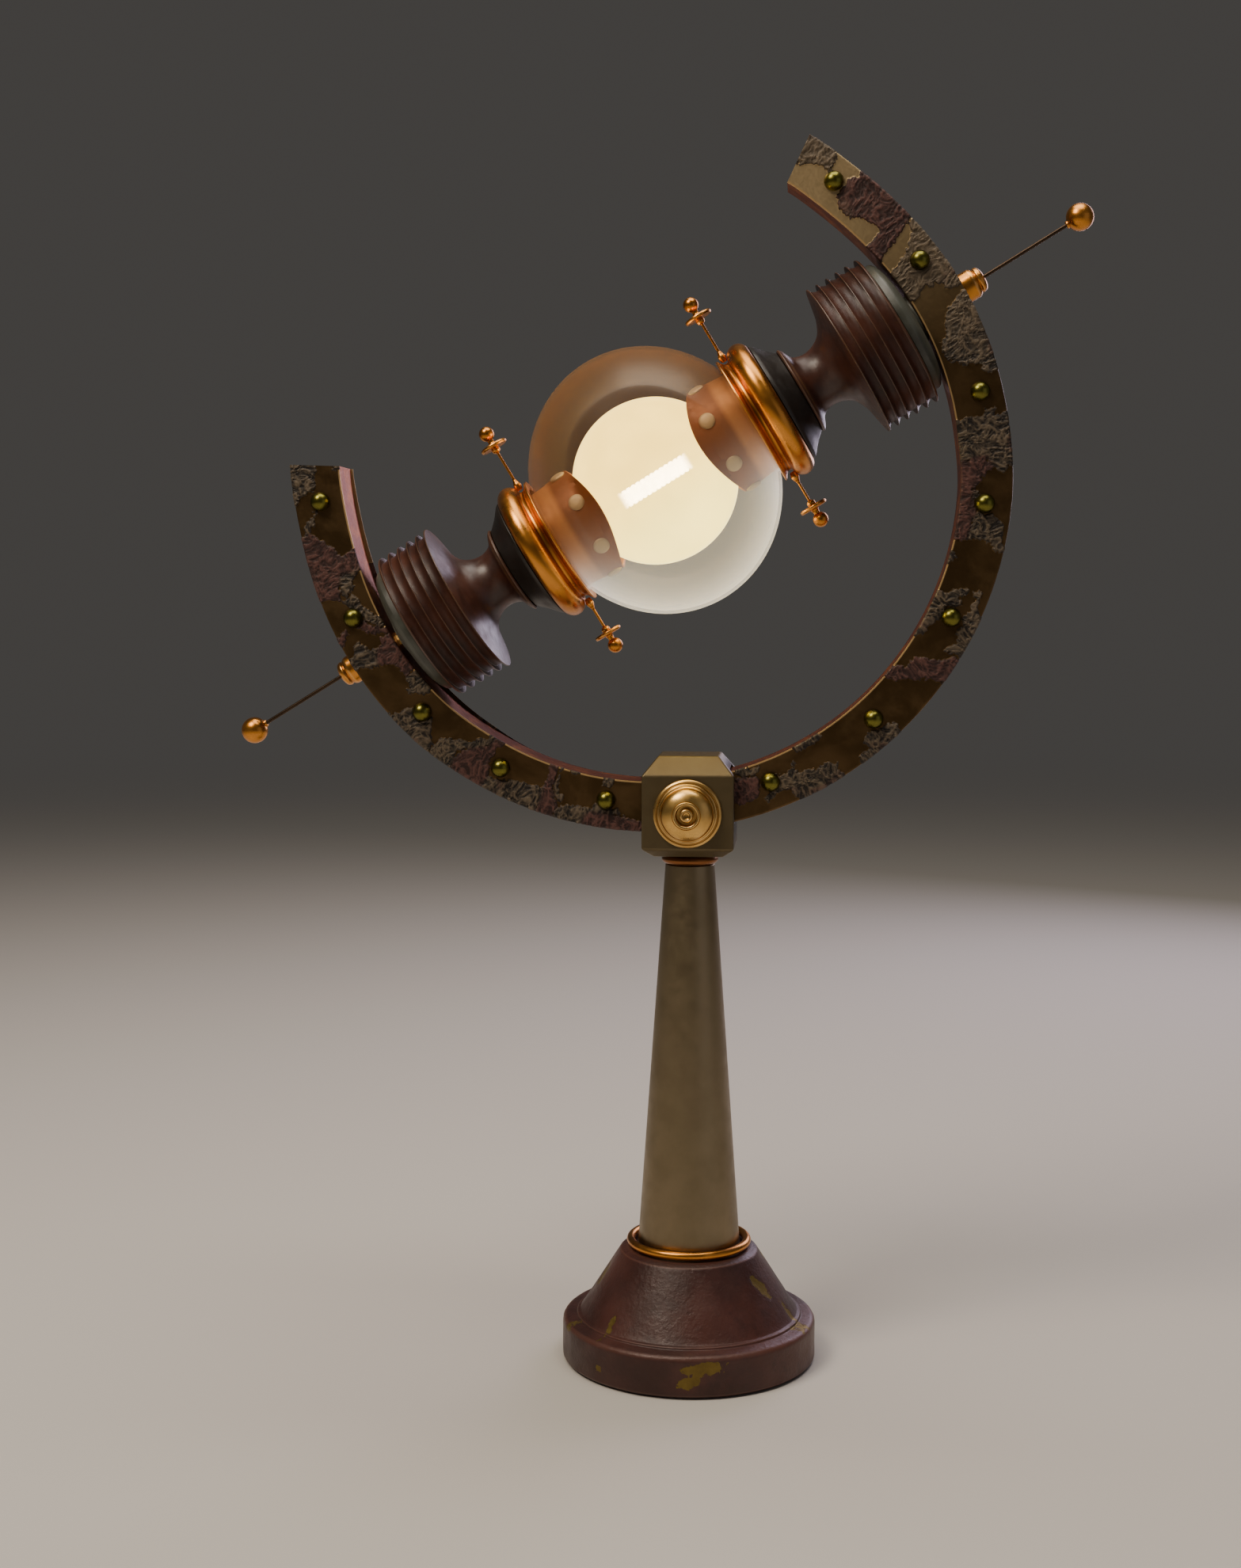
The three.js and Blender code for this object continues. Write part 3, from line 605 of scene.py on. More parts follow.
def base_outline():
    low, top, radius = turned_size("base", STAND)
    pad = turned_size("base_pad", STAND)[2] + 0.3
    foot = radius - 6.2  # where the cone meets its step
    shoulder = 15.6
    cone_top = radius_at("base", STAND, top)
    cone = []
    steps = 22
    for i in range(1, steps):
        t = i / steps
        cone.append((foot - 0.6 + (cone_top + 0.5 - foot + 0.6) * t, 17.6 + (top - 19.0) * t))
    side = [(radius, low + 1 + (shoulder - 4 - low) * i / 8) for i in range(1, 8)]
    return [
        (3.4, 9.5),
        (9, 9.5, 0.3),
        (9, 1.9),
        (pad, 1.9),
        (pad, low, 0.2),
        (radius - 0.8, low, 0.5),
        (radius, low + 0.9, 0.5),
        *side,
        (radius, shoulder, 4.0),
        (foot + 0.9, shoulder + 0.9, 0.5),
        (foot + 0.7, 17.3, 0.5),
        (foot - 0.5, 17.7, 0.3),
        *cone,
        (cone_top + 0.4, top - 1.2, 1.6),
        (cone_top - 2.4, top, 1.2),
        (3.4, top),
    ]


def chip_depth(point):
    """How far inside the nearest chip a point of the base is, in millimetres."""
    angle = math.degrees(math.atan2(point.x, -point.y))
    radius = math.hypot(point.x, point.y)
    deepest = -3.0
    for at, height, half_width, half_height, lean in CHIPS:
        turn = (angle - at + 180) % 360 - 180
        up = point.z - height
        across = math.radians(turn) * radius + lean * up
        reach = math.hypot(across / half_width, up / half_height)
        deepest = max(deepest, (1 - reach) * min(half_width, half_height))
    return deepest


def base_shape():
    shape = turned(base_outline(), 2 * AROUND, closed=True)
    points, chips = [], []
    for p in shape.points:
        depth = chip_depth(p) + 0.8 * noise.noise(p * 0.55)
        bare = min(1.0, max(0.0, depth / 0.5)) if p.z > 1 else 0.0
        radius = max(1.0, math.hypot(p.x, p.y))
        inward = 0.25 * bare + 0.08 * noise.noise(p * 0.16)
        points.append(Vector((p.x - p.x / radius * inward, p.y - p.y / radius * inward, p.z)))
        chips.append(depth)
    return Shape(points, shape.faces, {**shape.marks, "chip": chips})


def plain_turned(node, place, outline, steps=AROUND):
    return turned(outline(*turned_size(node, place)), steps, closed=True)


def pad_outline(low, high, radius):
    return [(0, low), (radius, low, 0.4), (radius, high, 0.4), (0, high)]


def ring_outline(low, high, radius):
    tube = (high - low) / 2
    return bend(radius - tube, low + tube, tube, tube, 0, 345, 23)


def column_outline(low, high, radius):
    top = radius_at("column", STAND, high)
    return [
        (radius - 2.8, low),
        (radius, low, 0.3),
        (radius, low + 1.2, 0.4),
        (top, high - 0.2, 0.3),
        (top - 0.6, high, 0.3),
        (4, high),
        (4, high - 4),
        (top - 2.8, high - 4),
    ]


def add_stand():
    pad = turned(pad_outline(*turned_size("base_pad", STAND)))
    add("base_pad_felt", pad, STAND, "stand", "felt", FELT, "base_pad")
    add("base_enamelled", base_shape(), STAND, "stand", "oxblood_paint", ENAMEL, "base")
    ring = plain_turned("foot_ring", STAND, ring_outline)
    add("foot_ring_copper", ring, STAND, "stand", "copper", COPPER, "foot_ring")
    column = plain_turned("column", STAND, column_outline)
    add("column_turned", column, STAND, "stand", "pewter_column", PEWTER, "column")


# ------------------------------------------------------------------ head


def top_collar_outline(low, high, radius):
    rim = radius - 1.0
    middle = (low + high) / 2
    return [
        (4, low),
        (rim, low, 0.2),
        *bend(rim, middle, 1.0, (high - low) * 0.42, -70, 70, 12),
        (rim, high, 0.2),
        (4, high),
    ]


def bent_bar(inner, outer, half_depth):
    """A plain bar bent round Y in the arc's axes, long enough to pass through the block."""
    half_span = 60
    steps = 60
    corners = [(inner, half_depth), (inner, -half_depth), (outer, -half_depth), (outer, half_depth)]
    loops = []
    for i in range(steps + 1):
        a = math.radians(half_span * (2 * i / steps - 1))
        loops.append([Vector((r * math.cos(a), y, r * math.sin(a))) for r, y in corners])
    return swept(loops, [0.0] * len(corners))


def block_blank():
    """The block before it is cut: a cube with sloped shoulders and eased edges."""
    corners = local("block", STAND)
    half = max(p.x for p in corners)
    low, high = min(p.z for p in corners), max(p.z for p in corners)
    side = [p.z for p in corners if abs(abs(p.x) - half) < 0.01 and abs(abs(p.y) - half) < 0.01]
    top_half = max(p.x for p in corners if abs(p.z - high) < 0.01)
    bottom_half = max(p.x for p in corners if abs(p.z - low) < 0.01)
    levels = [(bottom_half, low), (half, min(side)), (half, max(side)), (top_half, high)]
    loops = []
    for h, z in levels:
        loops.append([Vector((x * h, y * h, z)) for x, y in ((1, 1), (-1, 1), (-1, -1), (1, -1))])
    mesh = mesh_of("block_blank", swept(loops, [0.0] * 4))
    work = bmesh.new()
    work.from_mesh(mesh)
    rounds = {"offset": 0.7 * MM, "segments": 3, "profile": 0.6, "affect": "EDGES"}
    made = bmesh.ops.bevel(work, geom=list(work.edges), **rounds)
    edge = work.verts.layers.float.get("edge")
    for vertex in made["verts"]:
        vertex[edge] = 0.7
    work.to_mesh(mesh)
    work.free()
    return mesh


def block_mesh():
    """The block with the arc's channel and the rivets' grooves cut through it."""
    radii = [math.hypot(p.x, p.z) for p in local("arc_core", ARC)]
    half = max(p.y for p in local("arc_back_plate", ARC))
    rivets = [p.y for p in local("arc_rivet_06", ARC)]
    groove_r = 119.7  # middle of the way that the rivets' heads take through the block
    groove_half = 4.9
    blank = bpy.data.objects.new("block_blank", block_blank())
    bpy.context.scene.collection.objects.link(blank)
    cutters = [
        bent_bar(min(radii) - 0.8, max(radii) + 0.8, half + 0.9),
        bent_bar(groove_r - groove_half, groove_r + groove_half, max(rivets) + 0.6),
    ]
    tools = []
    for number, cutter in enumerate(cutters):
        tool = bpy.data.objects.new(f"cutter_{number}", mesh_of(f"cutter_{number}", cutter))
        bpy.context.scene.collection.objects.link(tool)
        tool.matrix_world = ARC
        tools.append(tool)
        cut = blank.modifiers.new(f"cut_{number}", "BOOLEAN")
        cut.object = tool
        cut.solver = "EXACT"
    bpy.context.view_layer.update()
    graph = bpy.context.evaluated_depsgraph_get()
    mesh = bpy.data.meshes.new_from_object(blank.evaluated_get(graph))
    for scrap in (blank, *tools):
        bpy.data.objects.remove(scrap)
    return mesh


def boss_outline(low, high, radius):
    return [
        (2, low),
        (radius, low, 0.3),
        (radius, low + 1.0, 0.5),
        (radius - 0.9, low + 1.5, 0.3),
        (radius - 1.1, low + 1.3, 0.2),
        (radius - 1.5, low + 1.3, 0.2),
        (radius - 1.8, high, 0.4),
        (2, high),
    ]


def knob_outline(low, high, radius):
    rise = high - low - 2.1
    dome = bend(0, low + 1.9, radius - 0.9, rise + 0.5, 4, 56, 16)
    return [
        (2, low),
        (radius, low, 0.3),
        (radius, low + 0.8, 0.5),
        (radius - 0.6, low + 1.5, 0.25),
        (radius - 0.8, low + 1.2, 0.2),
        (radius - 1.1, low + 1.2, 0.2),
        *dome,
        (5.0, high - 0.6, 0.3),
        (4.9, high, 0.35),
        (4.0, high, 0.35),
        (3.8, high - 0.6, 0.2),
        (3.8, high - 3.3, 0.3),
        (2, high - 3.3),
    ]


def screw_outline(low, high, radius):
    return [
        (0, low),
        (1.6, low, 0.1),
        (1.6, high - 2.7),
        (radius, high - 2.7, 0.2),
        (radius, high - 0.4, 0.3),
        (radius - 0.5, high, 0.25),
        (1.5, high, 0.2),
        (1.2, high - 0.6, 0.2),
        (0.5, high - 0.8, 0.3),
        (0, high - 0.8),
    ]


def add_head():
    collar = plain_turned("top_collar", STAND, top_collar_outline)
    add("top_collar_copper", collar, STAND, "head", "copper", DARK_COPPER, "top_collar")
    add("block_cut", block_mesh(), STAND, "head", "block_paint", BLOCK, "block")
    boss = plain_turned("clamp_boss", KNOB, boss_outline)
    add("clamp_boss_turned", boss, KNOB, "head", "gold_brass", GOLD, "clamp_boss")
    knob = plain_turned("clamp_knob", KNOB, knob_outline)
    add("clamp_knob_turned", knob, KNOB, "knob", "gold_brass", GOLD, "clamp_knob")
    screw = turned(screw_outline(*turned_size("clamp_screw", KNOB)), AROUND_SMALL)
    add("clamp_screw_turned", screw, KNOB, "knob", "gold_brass", GOLD, "clamp_screw")


# ------------------------------------------------------------------ arc

# Crusts on an arc face: kind, and the corners of their outline as (degrees along the arc from
# its middle, millimetres out from its inner edge).
CRUSTS = [
    ("bark", [
        (-124, 8.5), (-121.3, 9.5), (-119.6, 9.3), (-118.8, 11.5), (-118.1, 13.5), (-118.3, 15.5),
        (-116.8, 17.2), (-116.3, 20), (-124, 20),
    ]),
    ("bark", [
        (-124, -1), (-122.4, -1), (-122.5, 2.5), (-124, 3.5),
    ]),
    ("bark", [
        (-115.3, 10.8), (-113.8, 11.5), (-112.8, 13.7), (-111.8, 14.8), (-110.8, 17.2),
        (-111.3, 18.3), (-113.1, 16), (-114.3, 13.5), (-115.3, 12.3),
    ]),
    ("mauve", [
        (-108.2, -1), (-104.5, -1), (-103, 2.5), (-103.8, 7), (-101.5, 10), (-99.6, 10.5),
        (-100.2, 12.8), (-100.6, 15), (-100.6, 20), (-111.6, 20), (-112.2, 14.8), (-111, 11.8),
        (-110, 9.8), (-108.3, 7.3), (-106.8, 4.8),
    ]),
    ("bark", [
        (-105.3, -1), (-103.3, 1.3), (-102, 3.8), (-100.8, 5.3), (-99.3, 8.5), (-100.3, 10),
        (-102.3, 10), (-104, 8.5), (-104.2, 4.5),
    ]),
    ("bark", [
        (-100.3, 6.3), (-98.3, 4.9), (-96.8, 3.4), (-95.5, 1.4), (-93.8, -1), (-92, -1),
        (-92.3, 2.2), (-93.8, 3.9), (-95.3, 5.9), (-97.8, 8.9), (-99.3, 10.3),
    ]),
    ("mauve", [
        (-92, -1), (-90.8, 1), (-91.8, 4.4), (-93, 7.2), (-94.4, 10.6), (-95, 6.4), (-93.3, 3.8),
    ]),
    ("mauve", [
        (-95.1, 13.4), (-94.2, 13.4), (-93.3, 15.8), (-91.8, 20), (-93.8, 20), (-94.8, 16.4),
    ]),
    ("mauve", [
        (-90.8, -1), (-82.3, -1), (-82.3, 4.4), (-85.3, 4.8), (-86.1, 6.8), (-86.8, 10.3),
        (-88.3, 9.4), (-89.5, 7), (-89.7, 4.8), (-91.1, 4),
    ]),
    ("bark", [
        (-89.5, 7), (-86.8, 9.9), (-87.2, 13.4), (-88, 15.9), (-88.2, 20), (-90.4, 20),
        (-90.4, 16.4), (-92, 14.4), (-92.2, 12), (-90.8, 10.3), (-89.8, 9.5),
    ]),
    ("bark", [
        (-82.4, -1), (-78.1, -1), (-77.1, 1.4), (-77.6, 3.4), (-78.8, 5.4), (-79.8, 7.9),
        (-80.5, 7.1), (-80.7, 5.4), (-82.4, 4.4),
    ]),
    ("bark", [
        (-77.4, 9.6), (-78.4, 12.6), (-78.8, 15), (-79.6, 20), (-70.3, 20), (-70.8, 14.6),
        (-72, 12.6), (-72.8, 10), (-73.8, 7.6), (-74.5, 9.6), (-75.3, 12.4), (-76.6, 11.6),
    ]),
    ("mauve", [
        (-74.3, 14.6), (-72.3, 13.6), (-71.5, 16), (-72.8, 20), (-74.6, 20),
    ]),
    ("bark", [
        (-70.8, 14.5), (-70.6, 11.3), (-69, 9.5), (-67.8, 7.5), (-66.1, 6.5), (-65.1, 4),
        (-63.6, 2), (-62.8, -1), (-61.3, -1), (-62.3, 3.5), (-64.8, 7.5), (-66.3, 10.5),
        (-66.8, 13.5), (-65.8, 20), (-70.3, 20),
    ]),
    ("mauve", [
        (-62.6, -1), (-59.2, -1), (-60.8, 2.5), (-61, 6.5), (-60.6, 10.5), (-59.8, 13.3),
        (-60.3, 20), (-66.3, 20), (-66.5, 13.5), (-66.1, 10), (-64.3, 6.5), (-62.6, 3.5),
    ]),
    ("bark", [
        (-60.3, 13), (-57.8, 13.5), (-56.7, 11.5), (-54.2, 10), (-51.6, 9.1), (-50.1, 9.7),
        (-50.4, 20), (-60.3, 20),
    ]),
    ("mauve", [
        (-58.3, 13.8), (-56.5, 13.3), (-56, 16), (-57, 20), (-59, 20),
    ]),
    ("mauve", [
        (-50.8, -1), (-48.9, -1), (-48.7, 4), (-49, 8), (-48, 11), (-47.2, 14), (-47.6, 20),
        (-50.6, 20), (-50.6, 10), (-50.4, 4),
    ]),
    ("bark", [
        (-48.9, -1), (-48.1, -1), (-47.8, 2), (-48.3, 5.6), (-47.5, 8.6), (-46.4, 10),
        (-46.8, 12.6), (-47.8, 12), (-49, 8), (-48.7, 4),
    ]),
    ("bark", [
        (-47.6, -1), (-43.5, -1), (-46, 1.3),
    ]),
    ("bark", [
        (-47.6, 15), (-46.1, 13), (-44.5, 12), (-42.5, 11.4), (-41.3, 11.6), (-41, 9.6),
        (-39, 11.6), (-37, 10.6), (-36, 13), (-41.5, 13.6), (-43, 20), (-47.6, 20),
    ]),
    ("mauve", [
        (-43, 14.6), (-42, 12.9), (-38.4, 12.6), (-35.9, 13.6), (-33.4, 14.6), (-30, 15.6),
        (-29, 20), (-43, 20),
    ]),
    ("bark", [
        (-40, -1), (-38, -1), (-38.9, 3.6), (-40.2, 3),
    ]),
    ("bark", [
        (-29, 4), (-25, 8), (-21.5, 12), (-19, 16), (-22, 18), (-25, 13), (-30, 8),
    ]),
    ("mauve", [
        (-17.5, 3), (-14, 3), (-12.2, 4.5), (-11.5, 6), (-11.9, 9), (-12.7, 12), (-15.7, 13),
        (-17.5, 10),
    ]),
    ("bark", [
        (-16, -1), (-13.5, 0.5), (-11.5, 1.5), (-10.2, 0.5), (-10.5, 2.6), (-12.2, 4),
        (-14.7, 2.9),
    ]),
    ("bark", [
        (-8.5, 6.6), (-6.6, 7), (-5.1, 6), (-4.7, 8.6), (-3.1, 9.5), (-1.5, 11), (0.5, 10.5),
        (1.8, 13), (1.6, 20), (-6.5, 20), (-7.2, 13.6), (-9.1, 12.6), (-11.5, 15), (-12.2, 12.6),
        (-10.7, 12),
    ]),
    ("mauve", [
        (-7.4, 12.2), (-4.6, 13), (-2, 15), (0.5, 14), (1.5, 16), (1.2, 20), (-4.5, 20),
        (-6.4, 16),
    ]),
    ("bark", [
        (-3.9, -1), (1.3, -1), (2.4, 1.8), (0.4, 2.7), (-1.5, 2.4), (-3.2, 2.2),
    ]),
    ("bark", [
        (-5.7, 4.4), (-4.4, 4.4), (-4.6, 6.6), (-5.6, 7),
    ]),
    ("bark", [
        (6.9, 12.6), (8.1, 11.3), (9.7, 11), (11.2, 12.4), (12.8, 13), (13.5, 15.6), (12.8, 20),
        (4.6, 20), (5.6, 15.8), (7.7, 15),
    ]),
    ("mauve", [
        (8.2, 14), (11, 14), (11.5, 16), (10.5, 20), (7.5, 20),
    ]),
    ("mauve", [
        (17.6, -1), (20.3, -1), (21.1, 1.7), (22.3, 4), (24.3, 5.2), (25.1, 8), (25.7, 11),
        (26.7, 14.5), (27.8, 16), (28.4, 20), (24.1, 20), (22.8, 14.4), (21.6, 10.8), (20.6, 7.8),
        (19.1, 5.3), (18.5, 2.2),
    ]),
    ("bark", [
        (26.6, -1), (36.8, -1), (37.1, 3.5), (38.3, 6), (38.6, 10), (37.5, 10.5), (37.1, 8.5),
        (35.8, 11), (35.3, 8), (34.5, 5.5), (32.5, 5.5), (31.4, 4.3), (30.4, 3.3), (28.6, 2.8),
        (27.9, 1.3),
    ]),
    ("mauve", [
        (28, -1), (30.5, -1), (31, 2.5), (29.5, 2.8),
    ]),
    ("bark", [
        (27.9, 12.4), (28.9, 12.7), (29.9, 14.9), (30.9, 14), (31.4, 12.2), (32.9, 13), (34.5, 12),
        (35.5, 14), (36.5, 13), (37.5, 14), (38.5, 12), (39.1, 15), (37.5, 15.5), (36.5, 15),
        (36, 17), (34.5, 20), (27.9, 20), (28.1, 15.5),
    ]),
    ("bark", [
        (41.5, -1), (45.2, -1), (43.5, 2.6), (42.5, 1.2),
    ]),
    ("mauve", [
        (46.3, -1), (61.2, -1), (60.8, 5), (61.1, 9), (59.7, 11.8), (58.2, 8.5), (57.2, 7),
        (55.7, 4.5), (53.6, 5.2), (52.1, 6.5), (50.6, 5.2), (47.1, 4.7), (46.4, 2.7),
    ]),
    ("bark", [
        (46.9, 4.7), (50.6, 5.2), (52.1, 6.6), (51.6, 9.4), (51.9, 12), (51.1, 14), (50.8, 16),
        (49.1, 17), (47.6, 17.2), (45.8, 20), (45.9, 15.6), (47.1, 13.2), (47.4, 10.2),
        (47.2, 7.2),
    ]),
    ("bark", [
        (53.9, 3.8), (55.3, 3.8), (55.5, 6.2), (54, 6.4),
    ]),
    ("bark", [
        (60.6, -1), (68.3, -1), (68.5, 4), (68.8, 5.5), (68.4, 8), (68.3, 9.5), (69.3, 11),
        (69.5, 14.5), (68.2, 14), (67.9, 15.5), (68.8, 18), (67.5, 20), (59.6, 20), (59.7, 17),
        (58.7, 15.5), (58.9, 13), (60.2, 11.5), (61.2, 9), (61, 5),
    ]),
    ("mauve", [
        (60.5, 2), (62, 4), (62, 10), (60.5, 11),
    ]),
    ("mauve", [
        (61.5, 14), (65, 15), (65.5, 20), (61, 20),
    ]),
    ("bark", [
        (79.8, 1.7), (78.8, 3.5), (78.3, 6), (77.4, 7), (77.2, 10), (76.5, 13), (75.3, 13),
        (74.9, 16.5), (75, 20), (89, 20), (88.5, 15.5), (88.1, 13), (87.6, 10.5), (86.4, 8.3),
        (85.1, 6.5), (83.8, 5.2), (82.6, 2.8), (81.3, 2),
    ]),
    ("mauve", [
        (77, 15.2), (80.5, 15.5), (81, 20), (76.5, 20),
    ]),
    ("bark", [
        (91.7, -1), (98.4, -1), (98.4, 3), (99, 7), (99.6, 9.5), (100.1, 12), (101.3, 15),
        (102.6, 16.5), (102.5, 20), (89.3, 20), (89.6, 14.9), (90.4, 12.4), (91.4, 12.6),
        (92.1, 11), (91.7, 9), (92.4, 7.5), (92, 4.7), (91.7, 2.5),
    ]),
    ("mauve", [
        (91.1, 13.4), (92.8, 12), (94.5, 11.8), (95.3, 14.3), (94.8, 16), (92.3, 20), (90.6, 20),
    ]),
    ("mauve", [
        (100.8, -1), (105, -1), (104.7, 4), (105.1, 7), (107.1, 7), (108.8, 5.3), (110.4, 3.5),
        (112, 2.5), (113.5, 4.3), (114.5, 6.2), (114.8, 8.6), (114.3, 11), (114.8, 13.3),
        (113.8, 14.7), (113.6, 16.4), (114, 20), (103.1, 20), (102.5, 15.5), (102.1, 11.5),
        (101.8, 8), (101.5, 4),
    ]),
    ("bark", [
        (110.5, 3.8), (112, 3), (113.5, 5), (114.3, 8), (113.5, 11), (111.5, 9.5), (110, 7),
    ]),
    ("bark", [
        (117.5, 13.5), (117.8, 11.2), (119.3, 11.3), (120.8, 10), (122.3, 7.8), (124, 6.5),
        (124, 20), (119.8, 20), (118.3, 18), (117.6, 16),
    ]),
    ("mauve", [
        (121.5, 16), (124, 16), (124, 20), (121, 20),
    ]),
]
# How far the arc, bent by hand, strays outwards from its circle: degrees and millimetres.
# It keeps to the circle where it can pass through the block.
STRAY = [
    (-124, 3.4), (-120.5, 2.6), (-115.5, 1.6), (-110.5, 1.0), (-105, 0.8), (-72, 0.7), (-62, 0),
    (57, 0), (64, -0.7), (82, -0.8), (104, -0.7), (111, -0.2), (116, 0.5), (120.5, 1.6), (124, 2.6),
]
GRID = 0.3  # millimetres between the points of a face's relief
BRASS_SINK = 0.5  # the clean brass lies this far under the plate's face
CRUST_RISE = 0.25  # and the crusts' ridges this far over it


def arc_section():
    """Inner radius, outer radius and half depth of the arc, and half of its span in degrees."""
    plate = local("arc_back_plate", ARC)
    radii = [math.hypot(p.x, p.z) for p in plate]
    span = max(abs(math.degrees(math.atan2(p.z, p.x))) for p in plate)
    return min(radii), max(radii), max(p.y for p in plate), span


def stray(angle):
    """A smoothed look-up in STRAY."""
    degrees, reach = zip(*STRAY)
    return sum(np.interp([angle - 2, angle, angle + 2], degrees, reach)) / 3


def inside_of(corners, x, y):
    """How far inside an outline each point lies, in millimetres; outside it, below zero."""
    nearest = np.full(x.shape, np.inf)
    inside = np.zeros(x.shape, bool)
    for (x0, y0), (x1, y1) in zip(corners, corners[1:] + corners[:1]):
        dx, dy = x1 - x0, y1 - y0
        t = np.clip(((x - x0) * dx + (y - y0) * dy) / (dx * dx + dy * dy), 0, 1)
        nearest = np.minimum(nearest, np.hypot(x - x0 - t * dx, y - y0 - t * dy))
        if dy:
            inside ^= ((y0 > y) != (y1 > y)) & (x < x0 + (y - y0) / dy * dx)
    return np.where(inside, nearest, -nearest)


def crust_map(angles, reaches, middle_r, turn):
    """How far inside a crust each point of a face is, in mm, and how mauve the crust is there.
    The grid's rows are at the angles and its columns at the reaches. A kind's pull grows
    towards the inside of its outlines."""
    margin = 6  # an outline counts only this near to it
    softness = 0.5
    x = np.radians(angles)[:, None] * middle_r + np.zeros(len(reaches))
    y = np.asarray(reaches)[None, :] + np.zeros((len(angles), 1))
    depth = np.full(x.shape, -float(margin))
    weight = np.full(x.shape, 1e-9)
    mauve = np.zeros(x.shape)
    for kind, outline in CRUSTS:
        corners = [(math.radians(degrees) * middle_r * turn, reach) for degrees, reach in outline]
        near = (x[:, 0] > min(corners)[0] - margin) & (x[:, 0] < max(corners)[0] + margin)
        inside = inside_of(corners, x[near], y[near])
        depth[near] = np.maximum(depth[near], inside)
        pull = np.exp(np.clip(inside, -8, 4) / softness)
        weight[near] += pull
        mauve[near] += pull * (kind == "mauve")
    return depth, mauve / weight


def wrinkles(point):
    """Winding creased ridges from 0 to 1, at a point in millimetres, longer across the arc."""
    bent = Vector((point.x * 0.42, point.y * 0.22, point.z))
    bent += noise.noise_vector(point * 0.14) * 1.5
    coarse = 1 - min(1.0, abs(noise.noise(bent)) * 2.6)
    fine = 1 - min(1.0, abs(noise.noise(bent * 2.4 + Vector((5, 9, 2)))) * 2.4)
    return 0.5 * coarse + 0.5 * fine


def relief(depth, mauve, point):
    """Border depth, height over the plate's face and ridge value at one point of a face."""
    border = depth + 0.9 * noise.noise(point * 0.3) + 0.9 * noise.noise(point * 0.9)
    raised = min(1.0, max(0.0, border / 0.5))
    raised = raised * raised * (3 - 2 * raised)
    ridge = wrinkles(point)
    swell = (0.2 + 0.8 * ridge) * (1 - 0.35 * mauve) + 0.2 * mauve
    swell += 0.15 * noise.noise(point * 0.12)
    dimples = 0.03 * noise.noise(point * 0.2)
    height = -BRASS_SINK + dimples + raised * min(1.0, swell) * (BRASS_SINK + CRUST_RISE)
    return border, height, ridge


def plate_shape(side, turn):
    """A face plate with its crusts. Side is -1 for the front and 1 for the back, and turn is
    the way round in which the crusts follow each other."""
    inner, outer, face, span = arc_section()
    back = face - 1.3
    middle_r = (inner + outer) / 2
    reaches = [0.5 + GRID * j for j in range(round((outer - inner - 0.9) / GRID) + 1)]
    steps = round(math.radians(2 * span) * middle_r / GRID)
    angles = [span * (2 * i / steps - 1) for i in range(steps + 1)]
    depth, mauve = crust_map(angles, reaches, middle_r, turn)
    loops = []
    marks = {"edge": [], "crust": [], "mauve": [], "ridge": [], "pale": []}
    for i, angle in enumerate(angles):
        a = math.radians(angle)
        off = stray(turn * angle)
        spots = []
        for j, reach in enumerate(reaches):
            at = Vector((math.radians(angle) * middle_r, reach, 40.0 * side))
            spots.append((*relief(depth[i, j], mauve[i, j], at), mauve[i, j]))
        first, last = spots[0], spots[-1]
        lift = first[1] + BRASS_SINK
        bulge = max(0.0, last[1] + BRASS_SINK) * 0.5
        section = [
            (inner, back, 0.0, first),
            (inner, face - 0.95, 0.0, first),
            (inner + 0.12, face - 0.6 + 0.5 * lift, 1.0, first),
        ]
        for reach, spot in zip(reaches, spots):
            section.append((inner + reach, face + spot[1], 0.9 if reach < 0.6 else 0.0, spot))
        section.append((outer - 0.1 + bulge, face - 0.75, 0.0, last))
        section.append((outer + bulge * 0.6, back, 0.0, last))
        loop = []
        for radius, y, painted_edge_highlight, (border, _, ridge, purple) in section:
            bent = radius + off
            loop.append(Vector((bent * math.cos(a), side * y, bent * math.sin(a))))
            # this edge mark is where the brass gets its painted highlight: the inner edge, and not
            # under a crust
            marks["edge"].append(0.0 if border > 0 else painted_edge_highlight)
            marks["crust"].append(border)
            marks["mauve"].append(purple)
            marks["ridge"].append(ridge)
            marks["pale"].append(max(0.0, turn * angle - 75) / 45)
        loops.append(loop)
    return swept(loops, [0.0] * len(loops[0]))._replace(marks=marks)


def core_shape():
    """The arc's casting between its two plates, with eased ends."""
    inner, outer, face, span = arc_section()
    half = face - 1.25
    ease = 0.35
    corners = [(inner, half, ease), (inner, -half, ease), (outer, -half, ease), (outer, half, ease)]
    section = eased(corners, closed=True)
    steps = 240
    loops, outside = [], []
    for i in range(steps + 1):
        angle = span * (2 * i / steps - 1)
        a = math.radians(angle)
        off = stray(angle)
        loop = []
        for r, y, _ in section:
            loop.append(Vector(((r + off) * math.cos(a), y, (r + off) * math.sin(a))))
        loops.append(loop)
        outside += [(r - inner) / (outer - inner) for r, _, _ in section]
    shape = swept(loops, [abs(mark) for _, _, mark in section])
    return shape._replace(marks={**shape.marks, "outside": outside})


def rivet_outline(low, high, radius):
    """Ball heads on both ends of a shank, seated a little into the plates."""
    centre = high - radius
    seat = arc_section()[2] - 0.7
    foot = -math.degrees(math.asin((centre - seat) / radius))
    head = bend(0, centre, radius, radius, foot, 90, 14)
    head[-1] = (0, high)
    far = [(r, -h) for r, h in reversed(head)]
    return [*far, (1.6, -seat, 0.1), (1.6, seat, 0.1), *head]


